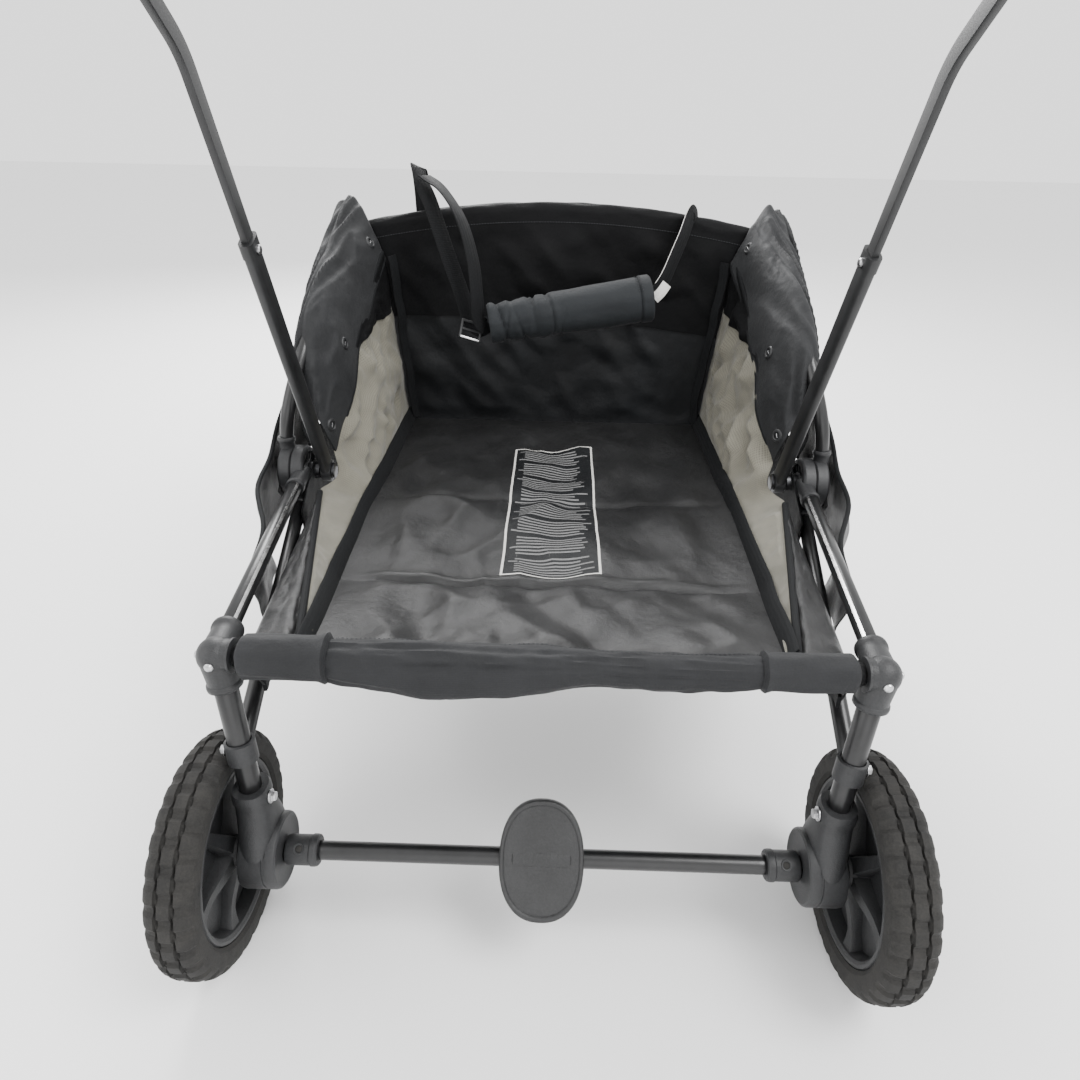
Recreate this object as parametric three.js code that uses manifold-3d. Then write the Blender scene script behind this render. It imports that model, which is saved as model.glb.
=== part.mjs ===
// Folding camp wagon with a fabric tub, a reclining telescopic handle, a foot brake and two casters.
// Millimetres, +Z up, +Y forward. The origin lies on the ground below the middle of the wagon.
// The frame folds at two coaxial hubs: the front half swings down about the line FOLD.
import * as THREE from "three";
import { mergeVertices } from "three/addons/utils/BufferGeometryUtils.js";
import Module from "manifold-3d";

const wasm = await Module();
wasm.setup();

// Driving dimensions
const GAP = 0.3;
const FOLD = { y: 100, z: 341 };
const FRAME_R = 11;
const RAIL_R = 9;
const RAIL_STEPS = 14;
const SIDES = 12;

const FLOOR_TOP = 303;
const FLOOR_THICK = 6;
const FLOOR_HALF = 250;
const FOLD_GAP = 38;
const ENTRY_FOLD_Y = -110;
const RAMP_END = { half: 226, z: 340 };
const WALL_Y = 400;
const PANEL_THICK = 4;

const REAR_RAIL = { x: 300, y: -303, z: 350 };
const COVER_R = 20;
const REAR_WHEEL = { x: 329, y: -335, z: 120, r: 120, width: 46 };
const AXLE_R = 6;
const CARRIER = { inner: 262, outer: 300, r: 38 };
const LEG_FOOT = [286, -331, 158];
const LEG_TOP = [298, -305, 334];

const HUB_R = 34;
const HUB_INNER = { from: 334, to: 351.6, tubeX: 340 };
const HUB_OUTER = { from: 352, to: 369.6, tubeX: 364 };
const PIVOT_R = 6;

const CASTER = { x: 300, y: 410, axleY: 365, axleZ: 90, r: 90, width: 38 };
const HOUSING = { r: 20, bottom: 205, top: 262 };
const POST_TOP = [322, 420, 640];
const TOP_RAIL = { y: 420, endZ: 600, rise: 36 };

const BRAKE_BAR_R = 9.5;
const COLLAR = { r: 16, inner: 228, outer: 261.4 };
const PEDAL = { width: 86, length: 118, thick: 9, tilt: 48 };

const HANDLE = { x: 310, lean: 23.3, width: 26, thick: 14, sleeve: 350, straight: 500 };
const HANDLE_BEND = { radius: 80, angle: 27, reach: 230 };
const GRIP_R = 15;

const radians = THREE.MathUtils.degToRad;
const vector = (p) => new THREE.Vector3(...p);

// Materials
const finish = (color, roughness, metalness) => new THREE.MeshStandardMaterial({ color, roughness, metalness });
const MATERIALS = {
  tube: () => finish(0x17181a, 0.35, 0.6),
  plastic: () => finish(0x2a2c2f, 0.55, 0),
  canvas: () => finish(0x1d1e21, 0.85, 0),
  charcoal: () => finish(0x3a3d43, 0.85, 0),
  net: () => finish(0x8f8a7c, 0.9, 0),
  webbing: () => finish(0x141416, 0.8, 0),
  foam: () => finish(0x1b1b1c, 0.95, 0),
  rubber: () => finish(0x151515, 0.9, 0),
  steel: () => finish(0xa8aaad, 0.3, 0.9),
};

// A closed geometry as a manifold-3d solid, and back
function toSolid(geometry) {
  const bare = geometry.clone();
  bare.deleteAttribute("normal");
  bare.deleteAttribute("uv");
  const merged = mergeVertices(bare, 1e-3);
  const mesh = new wasm.Mesh({
    numProp: 3,
    vertProperties: merged.attributes.position.array,
    triVerts: new Uint32Array(merged.index.array),
  });
  return new wasm.Manifold(mesh);
}

function toGeometry(solid) {
  const mesh = solid.getMesh();
  const geometry = new THREE.BufferGeometry();
  geometry.setAttribute("position", new THREE.BufferAttribute(new Float32Array(mesh.vertProperties), 3));
  geometry.setIndex(new THREE.BufferAttribute(new Uint32Array(mesh.triVerts), 1));
  geometry.computeVertexNormals();
  return geometry;
}

function join(...geometries) {
  return toGeometry(geometries.map(toSolid).reduce((sum, solid) => sum.add(solid)));
}

function cut(geometry, ...tools) {
  return toGeometry(tools.map(toSolid).reduce((rest, tool) => rest.subtract(tool), toSolid(geometry)));
}

// A straight round bar between two points, in place
function bar(from, to, radius, sides = SIDES) {
  const start = vector(from);
  const end = vector(to);
  const axis = new THREE.Vector3().subVectors(end, start);
  const geometry = new THREE.CylinderGeometry(radius, radius, axis.length(), sides);
  const turn = new THREE.Quaternion().setFromUnitVectors(new THREE.Vector3(0, 1, 0), axis.clone().normalize());
  geometry.applyQuaternion(turn);
  const middle = start.add(end).multiplyScalar(0.5);
  return geometry.translate(middle.x, middle.y, middle.z);
}

// A round bar along a smooth curve through the points
function bentBar(points, radius, steps, sides = 10) {
  const section = new THREE.Shape();
  section.absarc(0, 0, radius, 0, 2 * Math.PI, false);
  return new THREE.ExtrudeGeometry(section, {
    steps,
    curveSegments: sides / 2,
    bevelEnabled: false,
    extrudePath: new THREE.CatmullRomCurve3(points.map(vector), false, "centripetal"),
  });
}

// A six-faced block from its lower ring of four corners and its upper ring, both counter-clockwise from outside
function block(lower, upper) {
  const geometry = new THREE.BufferGeometry();
  geometry.setAttribute("position", new THREE.Float32BufferAttribute([...lower, ...upper].flat(), 3));
  const faces = [0, 2, 1, 0, 3, 2, 4, 5, 6, 4, 6, 7];
  for (let i = 0; i < 4; i += 1) {
    const next = (i + 1) % 4;
    faces.push(i, next, next + 4, i, next + 4, i + 4);
  }
  geometry.setIndex(faces);
  const volume = toSolid(geometry).volume();
  if (volume < 0) {
    const index = geometry.index.array;
    for (let i = 0; i < index.length; i += 3) {
      [index[i + 1], index[i + 2]] = [index[i + 2], index[i + 1]];
    }
  }
  geometry.computeVertexNormals();
  return geometry;
}

// A solid of revolution about the X axis, from [radius, x] points of a closed profile
function turnedAboutX(profile, segments = 24) {
  const geometry = new THREE.LatheGeometry(profile.map(([r, x]) => new THREE.Vector2(r, x)), segments);
  return geometry.rotateZ(-Math.PI / 2);
}

function part(name, geometry, material, position = [0, 0, 0]) {
  const mesh = new THREE.Mesh(geometry, MATERIALS[material]());
  mesh.name = name;
  mesh.position.set(...position);
  return mesh;
}

// One side of the wagon: side is -1 on the left, which has X below zero, and 1 on the right
const sideName = (side) => (side < 0 ? "left" : "right");
const sided = (side, [x, y, z]) => [side * x, y, z];

// A bar whose X is given for the right-hand side
const sideBar = (side, from, to, radius, sides) => bar(sided(side, from), sided(side, to), radius, sides);

const along = (from, to, share) => from.map((value, i) => value + (to[i] - value) * share);

// Centre lines of the frame's tubes, on the right-hand side
const SIDE_RAIL = [[302, -289, 350], [HUB_INNER.tubeX, 66, 343]];
const REAR_BRACE = [[HUB_INNER.tubeX, 70, 318], [292, -318, 245]];
const FRONT_BRACE = [[HUB_OUTER.tubeX + 2, 128, 330], [303, 411, 274]];
const POST = [[CASTER.x, CASTER.y, 236], POST_TOP];
const FRONT_RAIL = [[364, 104, 372], [354, 114, 430], [334, 166, 506], [326, 280, 566], [326, 416, 627]];
const FLOOR_BAR = { y: -103, z: 286, half: 308 };

// ---- Rear frame -------------------------------------------------------------------------------------------

function rearCorner(side) {
  const centre = [REAR_RAIL.x, REAR_RAIL.y, REAR_RAIL.z];
  const sockets = [[284, -303, 350], [297, -307, 318], along(...SIDE_RAIL, 0.06)];
  const arms = sockets.map((mouth) => sideBar(side, centre, mouth, FRAME_R + 4));
  const ball = new THREE.SphereGeometry(FRAME_R + 5, 12, 8).translate(...sided(side, centre));
  const tubes = [
    bar([side * 283.7, -303, 350], [side * 270, -303, 350], FRAME_R + GAP),
    sideBar(side, LEG_TOP, LEG_FOOT, FRAME_R + GAP),
    sideBar(side, ...SIDE_RAIL, RAIL_R + GAP),
  ];
  return cut(join(ball, ...arms), ...tubes);
}

// The moulded wheel carrier: a brake drum with a socket for the leg and a hole for the axle
function wheelCarrier(side) {
  const { y, z } = REAR_WHEEL;
  const drum = sideBar(side, [CARRIER.inner, y, z], [CARRIER.outer, y, z], CARRIER.r, 24);
  const socket = sideBar(side, [284, y, z], along(LEG_FOOT, LEG_TOP, 0.25), 17, 14);
  const leg = sideBar(side, LEG_FOOT, LEG_TOP, FRAME_R + GAP);
  const axle = sideBar(side, [270, y, z], [310, y, z], AXLE_R + GAP);
  return cut(join(drum, socket), leg, axle);
}

// The fixed half of a fold hub, with its pivot pin: it carries the side rail, the brace and the handle arm
function innerHub(side) {
  const at = (x) => [x, FOLD.y, FOLD.z];
  const disc = sideBar(side, at(HUB_INNER.from), at(HUB_INNER.to), HUB_R, 20);
  const railSocket = sideBar(side, [HUB_INNER.tubeX, 78, 343], along(...SIDE_RAIL, 0.92), 11.4);
  const braceSocket = sideBar(side, [HUB_INNER.tubeX, 84, 321], along(...REAR_BRACE, 0.07), 11.2);
  const spacer = sideBar(side, at(318), at(HUB_INNER.from + 2), 11);
  const pin = sideBar(side, at(300), at(HUB_OUTER.to + 3), PIVOT_R);
  const head = sideBar(side, at(298.5), at(302.6), 11);
  const rail = sideBar(side, ...SIDE_RAIL, RAIL_R + GAP);
  const brace = sideBar(side, ...REAR_BRACE, RAIL_R + GAP);
  const sockets = cut(join(disc, railSocket, braceSocket), rail, brace);
  return join(sockets, spacer, pin, head);
}

// Floor behind the fold line, and the entry ramp that narrows towards the rear rail
function rearFloor() {
  const rampY = REAR_RAIL.y + COVER_R + 3;
  const length = FOLD.y - FOLD_GAP - ENTRY_FOLD_Y;
  const flat = new THREE.BoxGeometry(2 * FLOOR_HALF, length, FLOOR_THICK);
  flat.translate(0, ENTRY_FOLD_Y + length / 2, FLOOR_TOP - FLOOR_THICK / 2);
  const ring = (drop) => [
    [-FLOOR_HALF, ENTRY_FOLD_Y, FLOOR_TOP - drop],
    [-RAMP_END.half, rampY, RAMP_END.z - drop],
    [RAMP_END.half, rampY, RAMP_END.z - drop],
    [FLOOR_HALF, ENTRY_FOLD_Y, FLOOR_TOP - drop],
  ];
  return join(flat, block(ring(FLOOR_THICK), ring(0)));
}

// A side panel between a lower and an upper edge, PANEL_THICK thick across the wagon
function sidePanel(side, [lowA, lowB, highB, highA]) {
  const shift = ([x, y, z]) => [side * (x + PANEL_THICK), y, z];
  const inner = [lowA, lowB, highB, highA].map((p) => sided(side, p));
  return block(inner, [lowA, lowB, highB, highA].map(shift));
}

function rearFrame() {
  const group = new THREE.Group();
  group.add(part("rear_top_rail", bar([-283, -303, 350], [283, -303, 350], FRAME_R), "tube"));
  const cover = turnedAboutX([
    [FRAME_R + GAP, -276],
    [COVER_R, -276],
    [COVER_R, 276],
    [FRAME_R + GAP, 276],
    [FRAME_R + GAP, -276],
  ], 20);
  group.add(part("rear_rail_cover", cover, "charcoal", [0, REAR_RAIL.y, REAR_RAIL.z]));
  const floorBar = bar([-FLOOR_BAR.half, FLOOR_BAR.y, FLOOR_BAR.z], [FLOOR_BAR.half, FLOOR_BAR.y, FLOOR_BAR.z], 8);
  group.add(part("rear_floor_bar", floorBar, "tube"));
  group.add(part("tub_floor_rear", rearFloor(), "canvas"));
  for (const side of [-1, 1]) {
    const end = sideName(side);
    const leg = sideBar(side, LEG_FOOT, LEG_TOP, FRAME_R);
    const legHole = sideBar(side, LEG_FOOT, LEG_TOP, FRAME_R + GAP);
    group.add(part(`rear_leg_${end}`, leg, "tube"));
    group.add(part(`rear_corner_${end}`, rearCorner(side), "plastic"));
    group.add(part(`rear_side_rail_${end}`, sideBar(side, ...SIDE_RAIL, RAIL_R), "tube"));
    group.add(part(`rear_brace_${end}`, cut(sideBar(side, ...REAR_BRACE, RAIL_R), legHole), "tube"));
    group.add(part(`wheel_carrier_${end}`, wheelCarrier(side), "plastic"));
    const axle = sideBar(side, [271, REAR_WHEEL.y, REAR_WHEEL.z], [357, REAR_WHEEL.y, REAR_WHEEL.z], AXLE_R);
    group.add(part(`rear_axle_${end}`, axle, "steel"));
    group.add(part(`fold_hub_inner_${end}`, innerHub(side), "plastic"));
    const panel = sidePanel(side, [
      [253, ENTRY_FOLD_Y, FLOOR_TOP],
      [253, FOLD.y - FOLD_GAP, FLOOR_TOP],
      [316, FOLD.y - FOLD_GAP, 337],
      [240, REAR_RAIL.y + 30, 342],
    ]);
    group.add(part(`tub_side_rear_${end}`, panel, "net"));
  }
  return group;
}

// ---- Front frame ------------------------------------------------------------------------------------------

// The moving half of a fold hub
function outerHub(side) {
  const at = (x) => [x, FOLD.y, FOLD.z];
  const disc = sideBar(side, at(HUB_OUTER.from), at(HUB_OUTER.to), HUB_R, 20);
  const railSocket = sideBar(side, [HUB_OUTER.tubeX, 102, 355], [363.4, 105, 388], 11.2);
  const braceSocket = sideBar(side, [HUB_OUTER.tubeX + 2, 112, 333], along(...FRONT_BRACE, 0.045), 10.4);
  const rail = bentBar(FRONT_RAIL.map((p) => sided(side, p)), RAIL_R + GAP, RAIL_STEPS);
  const brace = sideBar(side, ...FRONT_BRACE, RAIL_R + GAP);
  const bore = sideBar(side, at(345), at(380), PIVOT_R + GAP);
  return cut(join(disc, railSocket, braceSocket), rail, brace, bore);
}

function casterHousing(side) {
  const at = (z) => [CASTER.x, CASTER.y, z];
  const body = sideBar(side, at(HOUSING.bottom), at(HOUSING.top), HOUSING.r, 16);
  const postSocket = sideBar(side, ...POST, FRAME_R - 1 + GAP);
  const stemHole = sideBar(side, at(190), at(233.4), 8 + GAP);
  return cut(body, postSocket, stemHole);
}

// The arched rail between the tops of the two posts
function topRail(posts) {
  const { y, endZ, rise } = TOP_RAIL;
  const points = [-1, -0.5, 0, 0.5, 1].map((t) => [t * 318, y, endZ + rise * (1 - t * t)]);
  return cut(bentBar(points, FRAME_R - 1, 12), ...posts);
}

// The front wall follows the arch of the top rail
function frontWall() {
  const edge = TOP_RAIL.endZ - 8;
  const outline = new THREE.Shape();
  outline.moveTo(-FLOOR_HALF, FLOOR_TOP - FLOOR_THICK);
  outline.lineTo(FLOOR_HALF, FLOOR_TOP - FLOOR_THICK);
  outline.lineTo(298, edge);
  outline.quadraticCurveTo(0, edge + 2 * TOP_RAIL.rise, -298, edge);
  const sheet = new THREE.ExtrudeGeometry(outline, { depth: 5, bevelEnabled: false, curveSegments: 10 });
  return sheet.rotateX(Math.PI / 2).translate(0, WALL_Y + 5, 0);
}

// The fabric sleeve that wraps the upper run of a side rail and hangs over the tub's side
function railSleeve(side, rail) {
  const ring = (y, z, inner, outer, drop) => [
    [inner, y, z - drop],
    [outer, y, z - drop],
    [outer, y, z],
    [inner, y, z],
  ].map((p) => sided(side, p));
  const near = ring(140, 486, 292, 350, 74);
  const far = ring(398, 642, 276, 346, 74);
  return cut(block(near, far), rail);
}

function grabStrap() {
  const group = new THREE.Group();
  const padEnds = [[-98, 270, 502], [137, 300, 537]];
  group.add(part("grab_strap_pad", bar(...padEnds, 31, 16), "charcoal"));
  const left = [
    [-102, 269, 501],
    [-118, 268, 484],
    [-134, 285, 512],
    [-165, 328, 590],
    [-204, 388, 672],
    [-214, 416, 705],
    [-214, 440, 690],
    [-213, 441, 590],
  ];
  const right = [[142, 301, 539], [158, 318, 556], [184, 352, 592], [204, 388, 621]];
  group.add(part("grab_strap_left", bentBar(left, 3.5, 22, 8), "webbing"));
  group.add(part("grab_strap_right", bentBar(right, 3.5, 8, 8), "webbing"));
  return group;
}

function frontFrame() {
  const group = new THREE.Group();
  const postHoles = [-1, 1].map((side) => sideBar(side, ...POST, FRAME_R - 1 + GAP));
  group.add(part("front_top_rail", topRail(postHoles), "tube"));
  const cross = bar([-279.5, CASTER.y, 232], [279.5, CASTER.y, 232], RAIL_R);
  group.add(part("front_cross_bar", cross, "tube"));
  const floorLength = WALL_Y - 2 - (FOLD.y + FOLD_GAP);
  const floor = new THREE.BoxGeometry(2 * FLOOR_HALF, floorLength, FLOOR_THICK);
  const floorMiddle = [0, WALL_Y - 2 - floorLength / 2, FLOOR_TOP - FLOOR_THICK / 2];
  group.add(part("tub_floor_front", floor, "canvas", floorMiddle));
  group.add(part("tub_front_wall", frontWall(), "canvas"));
  for (const side of [-1, 1]) {
    const end = sideName(side);
    const hole = postHoles[(side + 1) / 2];
    const railPoints = FRONT_RAIL.map((p) => sided(side, p));
    const railHole = bentBar(railPoints, RAIL_R + GAP, RAIL_STEPS);
    group.add(part(`fold_hub_outer_${end}`, outerHub(side), "plastic"));
    group.add(part(`front_side_rail_${end}`, cut(bentBar(railPoints, RAIL_R, RAIL_STEPS), hole), "tube"));
    group.add(part(`front_brace_${end}`, cut(sideBar(side, ...FRONT_BRACE, RAIL_R), hole), "tube"));
    group.add(part(`front_post_${end}`, sideBar(side, ...POST, FRAME_R - 1), "tube"));
    group.add(part(`caster_housing_${end}`, casterHousing(side), "plastic"));
    const panel = sidePanel(side, [
      [253, FOLD.y + FOLD_GAP, FLOOR_TOP],
      [253, WALL_Y - 2, FLOOR_TOP],
      [270, WALL_Y - 2, 612],
      [284, FOLD.y + FOLD_GAP, 440],
    ]);
    group.add(part(`tub_side_front_${end}`, panel, "net"));
    group.add(part(`rail_sleeve_${end}`, railSleeve(side, railHole), "charcoal"));
  }
  group.add(grabStrap());
  return group;
}

// ---- Handle -----------------------------------------------------------------------------------------------

// An oval section of the given width along Y and thickness along X
function oval(width, thick) {
  const straight = width / 2 - thick / 2;
  const shape = new THREE.Shape();
  shape.absarc(0, straight, thick / 2, 0, Math.PI, false);
  shape.absarc(0, -straight, thick / 2, Math.PI, 2 * Math.PI, false);
  return shape;
}

// A square-cornered hole of the given width along Y and thickness along X
function slot(width, thick) {
  const corners = [[-1, -1], [-1, 1], [1, 1], [1, -1]];
  return new THREE.Path(corners.map(([x, y]) => new THREE.Vector2((x * thick) / 2, (y * width) / 2)));
}

// The lower handle arm: a hollow oval sleeve with a round lug that turns on the fold hub's pin
function handleArm() {
  const { width, thick, sleeve } = HANDLE;
  const section = oval(width, thick);
  section.holes.push(slot(width - 8, thick - 6 + 2 * GAP));
  const hollow = new THREE.ExtrudeGeometry(section, { depth: sleeve - 40, bevelEnabled: false, curveSegments: 3 });
  hollow.translate(0, 0, 40);
  const solid = new THREE.ExtrudeGeometry(oval(width, thick), { depth: 41, bevelEnabled: false, curveSegments: 3 });
  const lug = bar([-thick / 2, 0, 0], [thick / 2, 0, 0], width / 2 + 2, 18);
  const bore = bar([-20, 0, 0], [20, 0, 0], PIVOT_R + GAP);
  return cut(join(hollow, solid, lug), bore);
}

// The upper handle arm: a flat bar that slides in the sleeve and bends back to the grip
function handleTube() {
  const half = (HANDLE.width - 8) / 2 - GAP;
  const { radius, angle, reach } = HANDLE_BEND;
  const turn = radians(angle);
  const outline = new THREE.Shape();
  outline.moveTo(half, HANDLE.sleeve / 2);
  outline.lineTo(half, HANDLE.straight);
  outline.absarc(-radius, HANDLE.straight, radius + half, 0, turn, false);
  const tip = (offset) => [
    -radius + (radius + offset) * Math.cos(turn) - reach * Math.sin(turn),
    HANDLE.straight + (radius + offset) * Math.sin(turn) + reach * Math.cos(turn),
  ];
  outline.lineTo(...tip(half));
  outline.lineTo(...tip(-half));
  outline.absarc(-radius, HANDLE.straight, radius - half, turn, 0, true);
  outline.lineTo(-half, HANDLE.sleeve / 2);
  const thick = HANDLE.thick - 6;
  const plate = new THREE.ExtrudeGeometry(outline, { depth: thick, bevelEnabled: false, curveSegments: 6 });
  // The outline's X is the handle's Y and its Y is the handle's Z.
  const basis = new THREE.Matrix4().makeBasis(vector([0, 1, 0]), vector([0, 0, 1]), vector([1, 0, 0]));
  return { geometry: plate.applyMatrix4(basis).translate(-thick / 2, 0, 0), tip: tip(0) };
}

function handle() {
  const group = new THREE.Group();
  group.position.set(0, FOLD.y, FOLD.z);
  group.rotation.x = radians(HANDLE.lean);
  const { geometry, tip } = handleTube();
  for (const side of [-1, 1]) {
    group.add(part(`handle_arm_${sideName(side)}`, handleArm(), "plastic", [side * HANDLE.x, 0, 0]));
    group.add(part(`handle_tube_${sideName(side)}`, geometry, "tube", [side * HANDLE.x, 0, 0]));
  }
  const gripHalf = HANDLE.x - (HANDLE.thick - 6) / 2 - GAP;
  const end = bar([-gripHalf, 0, 0], [gripHalf, 0, 0], GRIP_R, 16);
  group.add(part("handle_grip", end, "foam", [0, tip[0], tip[1]]));
  return group;
}

// ---- Brake ------------------------------------------------------------------------------------------------

function brake() {
  const group = new THREE.Group();
  group.position.set(0, REAR_WHEEL.y, REAR_WHEEL.z);
  const shaft = bar([-240, 0, 0], [240, 0, 0], BRAKE_BAR_R, 16);
  group.add(part("brake_bar", shaft, "tube"));
  const shaftHole = bar([-240.3, 0, 0], [240.3, 0, 0], BRAKE_BAR_R + GAP, 16);
  for (const side of [-1, 1]) {
    const ring = sideBar(side, [COLLAR.inner, 0, 0], [COLLAR.outer, 0, 0], COLLAR.r, 16);
    const buttonHole = bar([side * 246, 0, 0], [side * 246, -14, 20], 4, 8);
    group.add(part(`brake_collar_${sideName(side)}`, cut(ring, shaftHole, buttonHole), "plastic"));
  }
  const outline = new THREE.Shape();
  outline.absellipse(0, 0, PEDAL.width / 2 - 3, PEDAL.length / 2 - 3, 0, 2 * Math.PI, false, 0);
  const bevel = { bevelThickness: 3, bevelSize: 3, bevelSegments: 1, curveSegments: 12 };
  const plate = new THREE.ExtrudeGeometry(outline, { depth: PEDAL.thick - 6, ...bevel });
  plate.translate(0, 0, 7);
  const cradle = bar([-30, 0, 0], [30, 0, 0], BRAKE_BAR_R + 5, 16);
  const pedal = join(plate, cradle);
  pedal.rotateX(radians(PEDAL.tilt));
  group.add(part("brake_pedal", cut(pedal, shaftHole), "plastic"));
  return group;
}

// ---- Wheels -----------------------------------------------------------------------------------------------

// A tyre and a dished rim, centred on the origin and turning about X
function wheel(name, { r, width, bore }) {
  const half = width / 2;
  const seat = r * 0.76;
  const tyre = [
    [seat, -half + 4],
    [r - 10, -half],
    [r - 2, -half + 8],
    [r, 0],
    [r - 2, half - 8],
    [r - 10, half],
    [seat, half - 4],
    [seat, -half + 4],
  ];
  const rimEdge = seat - GAP;
  const rim = [
    [bore, -half],
    [20, -half],
    [24, -6],
    [rimEdge - 8, -6],
    [rimEdge, -half + 5],
    [rimEdge, half - 5],
    [rimEdge - 8, 6],
    [24, 6],
    [20, half],
    [bore, half],
    [bore, -half],
  ];
  const group = new THREE.Group();
  group.add(part(`${name[0]}_tyre_${name[1]}`, turnedAboutX(tyre), "rubber"));
  group.add(part(`${name[0]}_rim_${name[1]}`, turnedAboutX(rim), "plastic"));
  return group;
}

// The caster fork: a stem, a crown and two legs down to the axle, about the swivel axis
function casterFork() {
  const drop = CASTER.axleY - CASTER.y;
  const legGeometry = (x) => {
    const top = bar([x - 3.5, 0, 192], [x + 3.5, 0, 192], 13, 12);
    const foot = bar([x - 3.5, drop, CASTER.axleZ], [x + 3.5, drop, CASTER.axleZ], 13, 12);
    const half = 12;
    const web = block(
      [[x - 3.5, -half, 190], [x + 3.5, -half, 190], [x + 3.5, half, 190], [x - 3.5, half, 190]],
      [
        [x - 3.5, drop - half, CASTER.axleZ],
        [x + 3.5, drop - half, CASTER.axleZ],
        [x + 3.5, drop + half, CASTER.axleZ],
        [x - 3.5, drop + half, CASTER.axleZ],
      ],
    );
    return join(top, foot, web);
  };
  const crown = new THREE.BoxGeometry(58, 26, 13).translate(0, 0, 194.5);
  const stem = bar([0, 0, 200], [0, 0, 232.4], 8);
  const collar = bar([0, 0, 200], [0, 0, 204.5], 15, 14);
  const axle = bar([-30, drop, CASTER.axleZ], [30, drop, CASTER.axleZ], 5, 10);
  return join(crown, stem, collar, axle, legGeometry(-25.5), legGeometry(25.5));
}

function wheels() {
  const group = new THREE.Group();
  for (const side of [-1, 1]) {
    const end = sideName(side);
    const rear = wheel(["rear", end], { r: REAR_WHEEL.r, width: REAR_WHEEL.width, bore: AXLE_R + GAP });
    rear.position.set(side * REAR_WHEEL.x, REAR_WHEEL.y, REAR_WHEEL.z);
    group.add(rear);
    const caster = new THREE.Group();
    caster.position.set(side * CASTER.x, CASTER.y, 0);
    caster.add(part(`caster_fork_${end}`, casterFork(), "plastic"));
    const roller = wheel(["caster", end], { r: CASTER.r, width: CASTER.width, bore: 5 + GAP });
    roller.position.set(0, CASTER.axleY - CASTER.y, CASTER.axleZ);
    caster.add(roller);
    group.add(caster);
  }
  return group;
}

const wagon = new THREE.Group();
wagon.add(rearFrame(), frontFrame(), handle(), brake(), wheels());

export default wagon;
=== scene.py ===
"""Looks of a folding camp wagon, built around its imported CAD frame. Metres, +Y towards the wagon's front."""
import math

import bmesh
import bpy
from mathutils import Matrix, Vector, noise


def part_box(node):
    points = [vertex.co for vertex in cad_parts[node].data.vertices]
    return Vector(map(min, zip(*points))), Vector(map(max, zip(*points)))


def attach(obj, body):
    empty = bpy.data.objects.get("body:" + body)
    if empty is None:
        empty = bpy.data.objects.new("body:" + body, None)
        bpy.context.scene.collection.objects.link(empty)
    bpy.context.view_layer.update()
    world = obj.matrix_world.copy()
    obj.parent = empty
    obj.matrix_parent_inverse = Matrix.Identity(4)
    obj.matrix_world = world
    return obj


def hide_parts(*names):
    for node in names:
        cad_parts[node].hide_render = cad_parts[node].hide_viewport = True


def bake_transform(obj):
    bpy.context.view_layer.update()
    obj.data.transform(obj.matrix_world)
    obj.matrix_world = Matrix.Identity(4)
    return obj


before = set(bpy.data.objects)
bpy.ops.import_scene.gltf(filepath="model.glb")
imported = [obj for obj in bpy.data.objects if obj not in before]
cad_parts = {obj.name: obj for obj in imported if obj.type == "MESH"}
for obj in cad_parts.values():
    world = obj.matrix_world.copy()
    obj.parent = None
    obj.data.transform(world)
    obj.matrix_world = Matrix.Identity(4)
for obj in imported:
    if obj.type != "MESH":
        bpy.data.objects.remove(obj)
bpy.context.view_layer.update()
SIDES = (("left", -1), ("right", 1))
scene = bpy.context.scene


# ---- Measures read from the frame ----------------------------------------------------------------

def centre(node):
    low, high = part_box(node)
    return (low + high) / 2


def side_x(side, point):
    return Vector((side * point[0], point[1], point[2]))


def axis_ends(node, radius, signs):
    """The two ends of a straight round bar's axis. The signs say which way it runs through its box."""
    low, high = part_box(node)
    size = high - low
    run = size.copy()
    for _ in range(8):
        along = run.normalized()
        inset = Vector([radius * math.sqrt(max(0.0, 1 - c * c)) for c in along])
        run = Vector([max(0.0, s - 2 * i) for s, i in zip(size, inset)])
    middle = (low + high) / 2
    half = Vector([0.5 * r * s for r, s in zip(run, signs)])
    return middle - half, middle + half


FRAME_R = 0.011
RAIL_R = 0.009
FLOOR_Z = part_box("tub_floor_front")[1].z
FLOOR_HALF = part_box("tub_floor_front")[1].x
WALL_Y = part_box("tub_front_wall")[0].y
RAMP_END = Vector((0.226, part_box("tub_floor_rear")[0].y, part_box("tub_floor_rear")[1].z))
ENTRY_FOLD_Y = -0.110
FOLD = Vector((0, 0.100, 0.341))
REAR_RAIL = centre("rear_rail_cover")
TOP_RAIL_Y = centre("front_top_rail").y
TOP_RAIL_HALF = 0.318
TOP_RAIL_END_Z = 0.600
TOP_RAIL_RISE = 0.036
REAR_WHEEL = centre("rear_tyre_right")
BRAKE = centre("brake_bar")


# ---- Mesh building -------------------------------------------------------------------------------

def rough(point, scale, seed=0.0):
    """Smooth noise from -1 to 1 at a place, the same on every run."""
    return noise.noise(Vector(point) * scale + Vector((seed, seed * 1.7, -seed)))


def ease(value, start, end):
    share = min(1.0, max(0.0, (value - start) / (end - start)))
    return share * share * (3 - 2 * share)


def mix(a, b, share):
    return a + (b - a) * share


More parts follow.
